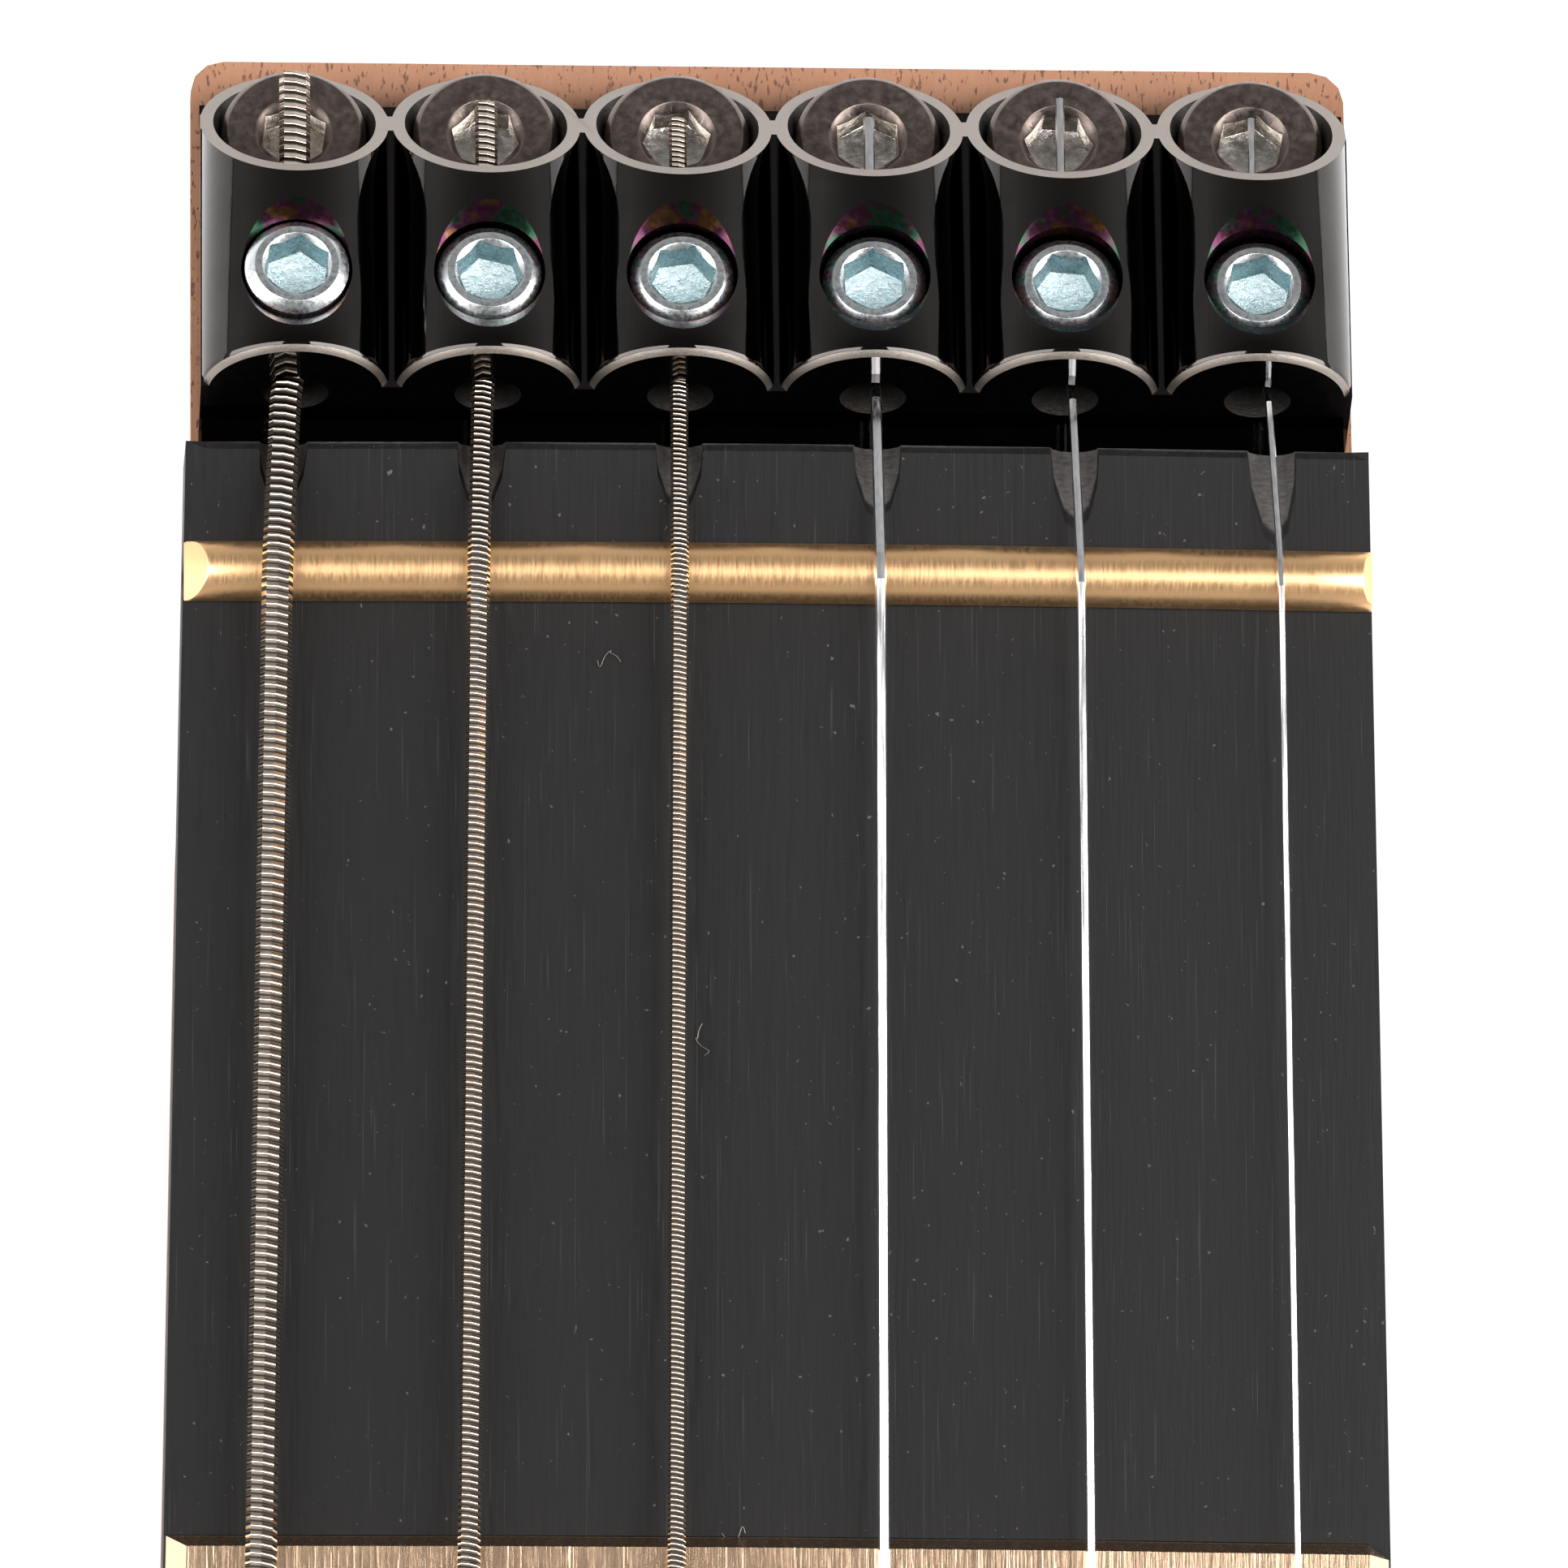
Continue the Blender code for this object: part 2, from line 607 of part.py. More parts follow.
def make_headpiece(frame):
    """Six fused barrels on one base, with a slanting mouth at the head end of each."""
    outline = [(-HALF_HEAD, 0.0)]
    for index in STRINGS:
        first = 0.0 if index == STRINGS[0] else VALLEY_ANGLE
        last = 0.0 if index == STRINGS[-1] else VALLEY_ANGLE
        count = 10
        for step in range(count + 1):
            angle = math.pi - first - (math.pi - first - last) * step / count
            x = barrel_x(index) + BARREL_RADIUS * math.cos(angle)
            outline.append((x, BARREL_AXIS_HEIGHT + BARREL_RADIUS * math.sin(angle)))
    outline.append((HALF_HEAD, 0.0))
    slant = math.tan(MOUTH_ANGLE)
    front = [Vector((x, 0.0, z)) for x, z in outline]
    back = [Vector((x, CREST_LENGTH + (CREST_HEIGHT - z) * slant, z)) for x, z in outline]
    headpiece = add_object("headpiece", loft_mesh("headpiece", [front, back]), BLACK_CHROME, parent=frame)
    deep = CREST_LENGTH + CREST_HEIGHT * slant + 0.002
    bore = cylinder_mesh("barrel_bore", BARREL_BORE_RADIUS, BORE_START, deep, MEDIUM_ROUND)
    sink_depth = CLAMP_SINK_RADIUS - CLAMP_HOLE_RADIUS
    sink_top = CREST_HEIGHT + 0.001
    sink = cylinder_mesh(
        "clamp_sink", CLAMP_HOLE_RADIUS, CREST_HEIGHT - sink_depth, sink_top, MEDIUM_ROUND,
        top_radius=CLAMP_SINK_RADIUS + sink_top - CREST_HEIGHT,
    )
    hole_floor = BARREL_AXIS_HEIGHT - STRING_HOLE_RADIUS
    clamp = cylinder_mesh(
        "clamp_hole", CLAMP_HOLE_RADIUS, hole_floor - SEAT_GAP, sink_top, MEDIUM_ROUND
    )
    wire = cylinder_mesh("string_hole", STRING_HOLE_RADIUS, -0.001, BORE_START + 0.001, SMALL_ROUND)
    pocket_floor = MOUNT_HEAD_TOP - MOUNT_HEAD_HEIGHT - SEAT_GAP
    pocket = cylinder_mesh(
        "mount_pocket", BARREL_BORE_RADIUS, pocket_floor, CREST_HEIGHT + 0.001, MEDIUM_ROUND
    )
    shank = cylinder_mesh("mount_hole", MOUNT_SHANK_RADIUS + FIT_GAP, -0.001, CREST_HEIGHT, SMALL_ROUND)
    lying = (-math.pi / 2, 0, 0)
    for index in STRINGS:
        x = barrel_x(index)
        number = index + 1
        axis = (x, 0, BARREL_AXIS_HEIGHT)
        for mesh, place, turn in (
            (bore, axis, lying),
            (wire, axis, lying),
            (pocket, (x, MOUNT_PLACE, 0), (0, 0, 0)),
            (shank, (x, MOUNT_PLACE, 0), (0, 0, 0)),
            (clamp, (x, CLAMP_PLACE, 0), (0, 0, 0)),
            (sink, (x, CLAMP_PLACE, 0), (0, 0, 0)),
        ):
            name = f"{mesh.name}_{number}"
            cut(headpiece, add_object(name, mesh, location=place, rotation=turn, parent=frame))


def clamped_string_height(index):
    """The height of a string's middle where the clamp screw holds it on its hole's floor."""
    return BARREL_AXIS_HEIGHT - STRING_HOLE_RADIUS + STRING_DIAMETERS[index] / 2 + SEAT_GAP


def make_head_screws(frame, neck):
    body = add_object(
        "clamp_blank",
        cylinder_mesh("clamp_blank", CLAMP_SCREW_RADIUS, 0.0, CLAMP_SCREW_LENGTH, MEDIUM_ROUND),
        ZINC,
    )
    floor = CLAMP_SCREW_LENGTH - CLAMP_SOCKET_DEPTH
    socket = hexagon_mesh("clamp_socket", CLAMP_SOCKET, floor, CLAMP_SCREW_LENGTH + 0.001)
    cut(body, add_object("clamp_socket", socket))
    clamp_mesh = baked_mesh(body, "clamp_screw")
    profile = [
        (0.0, 0.0),
        (MOUNT_HEAD_RADIUS, 0.0),
        (MOUNT_HEAD_RADIUS, -MOUNT_HEAD_HEIGHT),
        (MOUNT_SHANK_RADIUS, -MOUNT_HEAD_HEIGHT),
        (MOUNT_SHANK_RADIUS, -MOUNT_HEAD_TOP - MOUNT_SHANK_LENGTH),
        (0.0, -MOUNT_HEAD_TOP - MOUNT_SHANK_LENGTH - MOUNT_SHANK_RADIUS),
    ]
    screw = turned("mount_blank", profile, DARK_STEEL, 12)
    socket = hexagon_mesh("mount_socket", MOUNT_SOCKET, -MOUNT_SOCKET_DEPTH, 0.001)
    cut(screw, add_object("mount_socket", socket))
    mount_mesh = baked_mesh(screw, "mount_screw")
    pilot_depth = MOUNT_SHANK_LENGTH + MOUNT_SHANK_RADIUS + FIT_GAP
    pilot = cylinder_mesh("pilot_hole", MOUNT_SHANK_RADIUS + RUN_GAP, -pilot_depth, 0.002, SMALL_ROUND)
    for index in STRINGS:
        x = barrel_x(index)
        number = index + 1
        seat = clamped_string_height(index) + STRING_DIAMETERS[index] / 2 + SEAT_GAP
        add_object(f"clamp_screw_{number}", clamp_mesh, ZINC, location=(x, CLAMP_PLACE, seat), parent=frame)
        place = (x, MOUNT_PLACE, MOUNT_HEAD_TOP)
        add_object(f"mount_screw_{number}", mount_mesh, DARK_STEEL, location=place, parent=frame)
        hole = add_object(f"pilot_hole_{number}", pilot, location=(x, MOUNT_PLACE, 0), parent=frame)
        cut(neck, hole)


def saddle_string_z(index):
    """The height of a string's middle over its saddle."""
    x = centred(index, BRIDGE_STRING_SPACING)
    rise = ZERO_FRET_HEIGHT + BRIDGE_STRING_RISE
    return BOARD_TOP + rise - crown_drop(x) + STRING_DIAMETERS[index] / 2 + SEAT_GAP


def string_pocket(index):
    """The middle of a string where it enters its carriage."""
    return Vector((centred(index, BRIDGE_STRING_SPACING), -CARRIAGE_PLACE, TUNER_Z + 2 * SEAT_GAP))


def make_strings():
    for index in STRINGS:
        radius = STRING_DIAMETERS[index] / 2
        over_bridge = centred(index, BRIDGE_STRING_SPACING)
        end_y = -CARRIAGE_PLACE - STRING_END_DEPTH
        low = clamped_string_height(index)
        over_screw = MOUNT_HEAD_TOP + radius + 2 * SEAT_GAP
        inner_x = barrel_x(index)
        route = [
            Vector((over_bridge, end_y, TUNER_Z)),
            string_pocket(index),
            Vector((over_bridge, 0.0, saddle_string_z(index))),
            string_over_nut(index),
            string_entry(index),
            head_point(inner_x, CLAMP_PLACE - CLAMP_SCREW_RADIUS, low),
            head_point(inner_x, CLAMP_PLACE + CLAMP_SCREW_RADIUS, low),
            head_point(inner_x, MOUNT_PLACE - MOUNT_HEAD_RADIUS - 2 * SEAT_GAP, over_screw + SEAT_GAP),
            head_point(inner_x, STRING_TAILS[index], over_screw + 3 * SEAT_GAP),
        ]
        wound = STRING_DIAMETERS[index] > 0.0005
        points = softened(route, 0.0005)
        tube(f"string_{index + 1}", points, radius, WOUND_STRING if wound else PLAIN_STRING)


def outline_curve(points, steps):
    """A smooth closed curve through the outline's points, as a curve for a flat plate."""
    curve = bpy.data.curves.new("outline", "CURVE")
    curve.dimensions = "2D"
    curve.fill_mode = "BOTH"
    curve.resolution_u = steps
    spline = curve.splines.new("BEZIER")
    spline.bezier_points.add(len(points) - 1)
    for slot, (x, y) in zip(spline.bezier_points, points):
        slot.co = (x, y, 0.0)
        slot.handle_left_type = "AUTO"
        slot.handle_right_type = "AUTO"
    spline.use_cyclic_u = True
    return curve


def edge_near(value, axis, side):
    """How far the body's edge lies along one axis, at a place along the other."""
    across = 1 - axis
    best = None
    for edge in bpy.data.objects["body"].data.edges:
        a, b = (bpy.data.objects["body"].data.vertices[i].co for i in edge.vertices)
        if (a[across] - value) * (b[across] - value) > 0 or a[across] == b[across]:
            continue
        if min(a.z, b.z) < BODY_ROUNDING * 0.99 or max(a.z, b.z) > BODY_THICKNESS - BODY_ROUNDING * 0.99:
            continue
        share = (value - a[across]) / (b[across] - a[across])
        reach = a[axis] + share * (b[axis] - a[axis])
        if best is None or side * reach > side * best:
            best = reach
    return best


def make_body():
    curve = outline_curve(BODY_OUTLINE, OUTLINE_STEPS)
    curve.extrude = BODY_THICKNESS / 2 - BODY_ROUNDING
    curve.bevel_depth = BODY_ROUNDING
    curve.bevel_resolution = 1
    curve.offset = -BODY_ROUNDING
    draft = bpy.data.objects.new("draft", curve)
    parts.objects.link(draft)
    mesh = baked_mesh(draft, "body")
    bpy.data.curves.remove(curve)
    work = bmesh.new()
    work.from_mesh(mesh)
    bmesh.ops.translate(work, verts=work.verts, vec=(0, 0, BODY_THICKNESS / 2))
    bmesh.ops.remove_doubles(work, verts=work.verts, dist=0.000002)
    bmesh.ops.recalc_face_normals(work, faces=work.faces)
    work.to_mesh(mesh)
    work.free()
    mesh.shade_smooth()
    mesh.set_sharp_from_angle(angle=math.radians(35))
    body = add_object("body", mesh, BODY_FINISH)
    pocket_rings = []
    pocket_floor = NECK_TOP - HEEL_DEPTH - SEAT_GAP
    for y in (BOARD_TAIL_Y - FIT_GAP, BOARD_TAIL_Y + HEEL_LENGTH + 0.060):
        half = board_width(y) / 2 + RUN_GAP
        corners = ((-half, pocket_floor), (half, pocket_floor), (half, LONG), (-half, LONG))
        pocket_rings.append([Vector((x, y, z)) for x, z in corners])
    cut(body, add_object("neck_pocket", loft_mesh("neck_pocket", pocket_rings, smooth=False)))
    shave_edge(body, "arm_bevel", (-1, -0.32), ARM_BEVEL_WIDTH, ARM_BEVEL_DEPTH, top=True)
    shave_edge(body, "belly_cut", (-1, 0.12), BELLY_CUT_WIDTH, BELLY_CUT_DEPTH, top=False)
    return body


def shave_edge(body, name, direction, width, depth, top):
    """A sloping facet that takes the body's edge down on the side the player leans on."""
    outward = Vector((*direction, 0.0)).normalized()
    reach = max(vertex.co.dot(outward) for vertex in body.data.vertices)
    side = 1 if top else -1
    slope = math.atan2(depth, width)
    block = box_mesh(name, (0, -LONG / 2, 0), (LONG / 4, LONG / 2, LONG / 10))
    turn = Matrix.Rotation(math.atan2(outward.y, outward.x), 4, "Z")
    lean = Matrix.Rotation(slope, 4, "Y")
    flip = Matrix.Identity(4) if top else Matrix.Scale(-1, 4, (0, 0, 1))
    hinge = outward * (reach - width)
    hinge.z = BODY_THICKNESS if side > 0 else 0.0
    block.transform(Matrix.Translation(hinge) @ turn @ flip @ lean)
    if not top:
        block.flip_normals()
    cut(body, add_object(name, block))


def make_neck_bolts(body, neck):
    floor = BOLT_HEAD_SINK
    head_top = floor + BOLT_HEAD_HEIGHT
    tip = NECK_TOP - HEEL_DEPTH + BOLT_BITE
    profile = [
        (0.0, tip + BOLT_RADIUS),
        (BOLT_RADIUS, tip),
        (BOLT_RADIUS, head_top),
        (BOLT_HEAD_RADIUS, head_top),
        (BOLT_HEAD_RADIUS, floor),
        (0.0, floor),
    ]
    blank = turned("bolt_blank", profile, DARK_STEEL, SMALL_ROUND)
    mesh = baked_mesh(blank, "neck_bolt")
    end = tip + BOLT_RADIUS + FIT_GAP
    hole = cylinder_mesh("bolt_hole", BOLT_RADIUS + FIT_GAP, -0.001, end, SMALL_ROUND)
    sink = cylinder_mesh("bolt_sink", BOLT_HEAD_RADIUS + FIT_GAP, -0.001, head_top + SEAT_GAP, SMALL_ROUND)
    number = 0
    for row in range(2):
        for side in (-1, 1):
            number += 1
            place = (side * BOLT_SPREAD / 2, BOARD_TAIL_Y + BOLT_MARGIN + row * BOLT_ROW_GAP, 0)
            add_object(f"neck_bolt_{number}", mesh, DARK_STEEL, location=place)
            way = add_object(f"bolt_hole_{number}", hole, location=place)
            cut(body, way)
            cut(neck, way)
            cut(body, add_object(f"bolt_sink_{number}", sink, location=place))


def make_pickup(body, name, place):
    top = BODY_THICKNESS + PICKUP_RISE
    floor = top - PICKUP_HEIGHT
    half_width = PICKUP_WIDTH / 2
    half_length = PICKUP_LENGTH / 2
    low = (-half_width, place - half_length, floor)
    high = (half_width, place + half_length, top)
    pickup = add_object(name, rounded_box_mesh(name, low, high, PICKUP_CORNER), BLACK_PLASTIC)
    pole = cylinder_mesh("pole", POLE_RADIUS, top - 0.002, top + POLE_HEIGHT, SMALL_ROUND)
    pole_y = place + COIL_SPACING / 2
    for index in STRINGS:
        x = centred(index, string_spacing_at(pole_y))
        piece = add_object(f"{name}_pole_{index + 1}", pole, location=(x, pole_y, 0))
        cut(pickup, piece, "UNION")
    wide = (-half_width - FIT_GAP, place - half_length - FIT_GAP, floor - SEAT_GAP)
    far = (half_width + FIT_GAP, place + half_length + FIT_GAP, LONG)
    cavity = rounded_box_mesh(f"{name}_cavity", wide, far, PICKUP_CORNER)
    cut(body, add_object(f"{name}_cavity", cavity))


def string_spacing_at(y):
    return BRIDGE_STRING_SPACING + (NUT_STRING_SPACING - BRIDGE_STRING_SPACING) * y / NUT_Y


def make_wheel_slot(body):
    half = WHEEL_RADIUS + FIT_GAP
    low_z = NECK_TOP - RUN_GAP - ROD_DEPTH / 2 - half
    low = (-half, BOARD_TAIL_Y - 2 * FIT_GAP - WHEEL_WIDTH - FIT_GAP, low_z)
    high = (half, BOARD_TAIL_Y, LONG)
    cut(body, add_object("wheel_slot", box_mesh("wheel_slot", low, high)))


def make_bridge():
    outer = centred(STRINGS[-1], BRIDGE_STRING_SPACING) + SADDLE_WIDTH / 2 + SIDE_GAP + SIDE_WALL
    seat = BODY_THICKNESS + SEAT_GAP
    side = [
        (PLATE_FRONT, seat),
        (PLATE_FRONT, PLATE_TOP),
        (-PLATE_REAR + REAR_WALL, PLATE_TOP),
        (-PLATE_REAR + REAR_WALL, PLATE_TOP + REAR_WALL_HEIGHT),
        (-PLATE_REAR, PLATE_TOP + REAR_WALL_HEIGHT),
        (-PLATE_REAR, seat),
    ]
    rings = [[Vector((x, y, z)) for y, z in side] for x in (-outer, outer)]
    base = add_object("bridge_base", loft_mesh("bridge_base", rings, smooth=False), BLACK_CHROME)
    for sign in (-1, 1):
        edges = sorted((sign * outer, sign * (outer - SIDE_WALL)))
        low = (edges[0], -PLATE_REAR + REAR_WALL / 2, seat)
        high = (edges[1], PLATE_FRONT, PLATE_TOP + SIDE_WALL_HEIGHT)
        wall = box_mesh(f"side_wall_{sign + 2}", low, high)
        cut(base, add_object(wall.name, wall), "UNION")
    shaft = cylinder_mesh("shaft_hole", SHAFT_RADIUS + RUN_GAP, PLATE_REAR - REAR_WALL - 0.001,
                          PLATE_REAR + 0.001, SMALL_ROUND)
    for index in STRINGS:
        place = (centred(index, BRIDGE_STRING_SPACING), 0, TUNER_Z)
        hole = add_object(f"shaft_hole_{index + 1}", shaft, location=place, rotation=(math.pi / 2, 0, 0))
        cut(base, hole)


def make_saddles():
    for index in STRINGS:
        x = centred(index, BRIDGE_STRING_SPACING)
        radius = STRING_DIAMETERS[index] / 2
        number = index + 1
        height = saddle_string_z(index) - PLATE_TOP
        side = [
            (SADDLE_FRONT, SEAT_GAP),
            (SADDLE_FRONT, height * 0.45),
            (SADDLE_FRONT * 0.45, height * 0.90),
            (0.0, height),
            (-SADDLE_REAR * 0.25, height * 0.90),
            (-SADDLE_REAR, height * 0.30),
            (-SADDLE_REAR, SEAT_GAP),
        ]
        half = SADDLE_WIDTH / 2
        rings = [[Vector((across, y, z)) for y, z in side] for across in (-half, half)]
        mesh = loft_mesh(f"saddle_{number}", rings, smooth=False)
        saddle = add_object(f"saddle_{number}", mesh, DARK_STEEL, location=(x, 0, PLATE_TOP))
        reach = SADDLE_FRONT + SADDLE_REAR
        groove = cylinder_mesh("string_groove", radius + SEAT_GAP * 2, -radius, reach, 12)
        top = Vector((x, 0, PLATE_TOP + height))
        for name, aim in (("front", string_over_nut(index)), ("rear", string_pocket(index))):
            turn = (aim - top).to_track_quat("Z", "Y").to_euler()
            cut(saddle, add_object(f"groove_{name}_{number}", groove, location=top, rotation=turn))


def knurled_ring(y, radius, depth, count):
    ring = []
    for step in range(count):
        angle = 2 * math.pi * step / count
        reach = radius - (depth if step % 2 else 0.0)
        ring.append(Vector((reach * math.cos(angle), y, reach * math.sin(angle))))
    return ring


def make_tuners():
    """A knob whose shaft draws a carriage back; the string's end is held in the carriage."""
    rear = CARRIAGE_PLACE + CARRIAGE_LENGTH
    half = CARRIAGE_WIDTH / 2
    low = (-half, -rear, -TUNER_HEIGHT + RUN_GAP)
    high = (half, -CARRIAGE_PLACE, -TUNER_HEIGHT + RUN_GAP + CARRIAGE_HEIGHT)
    block = add_object(
        "carriage_blank",
        rounded_box_mesh("carriage_blank", low, high, CARRIAGE_CORNER, axis=1, segments=1),
        DARK_STEEL,
    )
    lying = (math.pi / 2, 0, 0)
    front = cylinder_mesh("string_pocket", STRING_POCKET_RADIUS, CARRIAGE_PLACE - 0.001,
                          CARRIAGE_PLACE + STRING_POCKET_DEPTH, SMALL_ROUND)
    back = cylinder_mesh("shaft_pocket", SHAFT_RADIUS + RUN_GAP, rear - SHAFT_POCKET_DEPTH,
                         rear + 0.001, SMALL_ROUND)
    cut(block, add_object("string_pocket", front, rotation=lying))
    cut(block, add_object("shaft_pocket", back, rotation=lying))
    carriage_mesh = baked_mesh(block, "tuner_carriage")
    face = -PLATE_REAR - FIT_GAP
    chamfer = 0.0008
    count = 14
    rings = [
        knurled_ring(-rear + SHAFT_BITE, SHAFT_RADIUS, 0.0, count),
        knurled_ring(face, SHAFT_RADIUS, 0.0, count),
        knurled_ring(face, KNOB_RADIUS - chamfer, 0.0, count),
        knurled_ring(face - chamfer, KNOB_RADIUS, KNURL_DEPTH, count),
        knurled_ring(face - KNOB_LENGTH + chamfer, KNOB_RADIUS, KNURL_DEPTH, count),
        knurled_ring(face - KNOB_LENGTH, KNOB_RADIUS - chamfer, 0.0, count),
    ]
    knob_mesh = loft_mesh("tuner_knob", rings)
    for index in STRINGS:
        place = (centred(index, BRIDGE_STRING_SPACING), 0, TUNER_Z)
        add_object(f"tuner_carriage_{index + 1}", carriage_mesh, DARK_STEEL, location=place)
        add_object(f"tuner_knob_{index + 1}", knob_mesh, BLACK_CHROME, location=place)


def make_control(body, kind, place):
    """A pot under the top, and the knob that turns its shaft."""
    ceiling = BODY_THICKNESS - CAVITY_ROOF
    shaft_end = ceiling - POT_HEIGHT / 2
    bore = POT_SHAFT_RADIUS + RUN_GAP
    rise = BODY_THICKNESS + BUSH_RISE
    nut = BODY_THICKNESS + SEAT_GAP + POT_NUT_HEIGHT
    profile = [
        (0.0, shaft_end - FIT_GAP),
        (bore, shaft_end - FIT_GAP),
        (bore, rise),
        (BUSH_RADIUS, rise),
        (BUSH_RADIUS, nut),
        (POT_NUT_RADIUS, nut),
        (POT_NUT_RADIUS, BODY_THICKNESS + SEAT_GAP),
        (BUSH_RADIUS, BODY_THICKNESS + SEAT_GAP),
        (BUSH_RADIUS, ceiling - SEAT_GAP),
        (POT_RADIUS, ceiling - SEAT_GAP),
        (POT_RADIUS, ceiling - POT_HEIGHT),
        (0.0, ceiling - POT_HEIGHT),
    ]
    turned(f"{kind}_pot", profile, ZINC, MEDIUM_ROUND, location=(*place, 0))
    inner = BUSH_RADIUS + DIAL_WALL
    skirt = BODY_THICKNESS + FIT_GAP
    web = rise + FIT_GAP
    crown = BODY_THICKNESS + DIAL_HEIGHT
    knob = [
        (0.0, crown + 0.0006),
        (DIAL_RADIUS * 0.75, crown),
        (DIAL_RADIUS, crown - 0.0015),
        (DIAL_RADIUS, skirt),
        (max(inner, POT_NUT_RADIUS + FIT_GAP), skirt),
        (max(inner, POT_NUT_RADIUS + FIT_GAP), web),
        (POT_SHAFT_RADIUS, web),
        (POT_SHAFT_RADIUS, shaft_end),
        (0.0, shaft_end),
    ]
    turned(f"{kind}_knob", knob, BLACK_PLASTIC, location=(*place, 0))
    hole = cylinder_mesh(f"{kind}_hole", BUSH_RADIUS + FIT_GAP, ceiling - 0.001, LONG, SMALL_ROUND)
    cut(body, add_object(f"{kind}_hole", hole, location=(*place, 0)))


def make_switch(body):
    ceiling = BODY_THICKNESS - CAVITY_ROOF
    top = BODY_THICKNESS + SEAT_GAP + SWITCH_NUT_HEIGHT
    pivot = BODY_THICKNESS
    swing = math.tan(SWITCH_THROW + math.radians(4))
    throat = LEVER_RADIUS * 1.3 + FIT_GAP
    bottom = pivot - 0.004
    profile = [
        (0.0, bottom),
        (throat + 0.004 * swing, bottom),
        (throat, pivot),
        (throat + (top - pivot) * swing, top),
        (SWITCH_NUT_RADIUS, top),
        (SWITCH_NUT_RADIUS, BODY_THICKNESS + SEAT_GAP),
        (SWITCH_BUSH_RADIUS, BODY_THICKNESS + SEAT_GAP),
        (SWITCH_BUSH_RADIUS, ceiling - SWITCH_DEPTH / 2),
        (0.0, ceiling - SWITCH_DEPTH / 2),
    ]
    switch = turned("switch_body", profile, BLACK_PLASTIC, MEDIUM_ROUND, location=(*SWITCH_PLACE, 0))
    half = SWITCH_BOX / 2
    low = (SWITCH_PLACE[0] - half, SWITCH_PLACE[1] - half, ceiling - SWITCH_DEPTH)
    high = (SWITCH_PLACE[0] + half, SWITCH_PLACE[1] + half, bottom - 0.001)
    cut(switch, add_object("switch_box", box_mesh("switch_box", low, high)), "UNION")
    tail = -0.004 + FIT_GAP
    tip = LEVER_LENGTH
    round_tip = [
        (LEVER_TIP_RADIUS * math.cos(math.radians(turn)),
         tip - LEVER_TIP_RADIUS + LEVER_TIP_RADIUS * math.sin(math.radians(turn)))
        for turn in (60, 30, 0, -30)
    ]
    lever = [(0.0, tip)] + round_tip + [
        (LEVER_RADIUS, top - pivot + 0.003),
        (LEVER_RADIUS, tail),
        (0.0, tail),
    ]
    turned("switch_lever", lever, ZINC, SMALL_ROUND, location=(*SWITCH_PLACE, pivot))
    hole = cylinder_mesh("switch_hole", SWITCH_BUSH_RADIUS + FIT_GAP, ceiling - 0.001, LONG)
    cut(body, add_object("switch_hole", hole, location=(*SWITCH_PLACE, 0)))


def make_cavity(body):
    x, y = CAVITY_CENTRE
    half_x = CAVITY_WIDTH / 2
    half_y = CAVITY_LENGTH / 2
    ceiling = BODY_THICKNESS - CAVITY_ROOF
    low = (x - half_x, y - half_y, -0.001)
    high = (x + half_x, y + half_y, ceiling)
    hollow = rounded_box_mesh("control_cavity", low, high, CAVITY_CORNER)
    cut(body, add_object("control_cavity", hollow))
    grow = COVER_LIP
    low = (x - half_x - grow, y - half_y - grow, -0.001)
    high = (x + half_x + grow, y + half_y + grow, COVER_THICKNESS + 2 * SEAT_GAP)
    recess = rounded_box_mesh("cover_recess", low, high, CAVITY_CORNER + grow)
    cut(body, add_object("cover_recess", recess))
    grow = COVER_LIP - RUN_GAP
    low = (x - half_x - grow, y - half_y - grow, SEAT_GAP)
    high = (x + half_x + grow, y + half_y + grow, SEAT_GAP + COVER_THICKNESS)
    cover = rounded_box_mesh("control_cover", low, high, CAVITY_CORNER + grow)
    add_object("control_cover", cover, BLACK_PLASTIC)


def make_jack(body):
    """A barrel socket in the body's edge, its mouth facing +X."""
    mouth = edge_near(JACK_PLACE_Y, 0, 1) - JACK_SINK
    place = (mouth, JACK_PLACE_Y, JACK_HEIGHT)
    lying = (0, math.pi / 2, 0)
    profile = [
        (0.0, -JACK_LENGTH + 0.003),
        (JACK_BORE_RADIUS, -JACK_LENGTH + 0.003),
        (JACK_BORE_RADIUS, JACK_FLANGE),
        (JACK_FLANGE_RADIUS, JACK_FLANGE),
        (JACK_FLANGE_RADIUS, 0.0),
        (JACK_RADIUS, 0.0),
        (JACK_RADIUS, -JACK_LENGTH),
        (0.0, -JACK_LENGTH),
    ]
    turned("output_jack", profile, ZINC, MEDIUM_ROUND, location=place, rotation=lying)
    bore = cylinder_mesh("jack_bore", JACK_RADIUS + FIT_GAP, -JACK_LENGTH - 0.003, 0.001)
    sink = cylinder_mesh("jack_sink", JACK_FLANGE_RADIUS + FIT_GAP, -SEAT_GAP, 0.02)
    cut(body, add_object("jack_bore", bore, location=place, rotation=lying))
    cut(body, add_object("jack_sink", sink, location=place, rotation=lying))


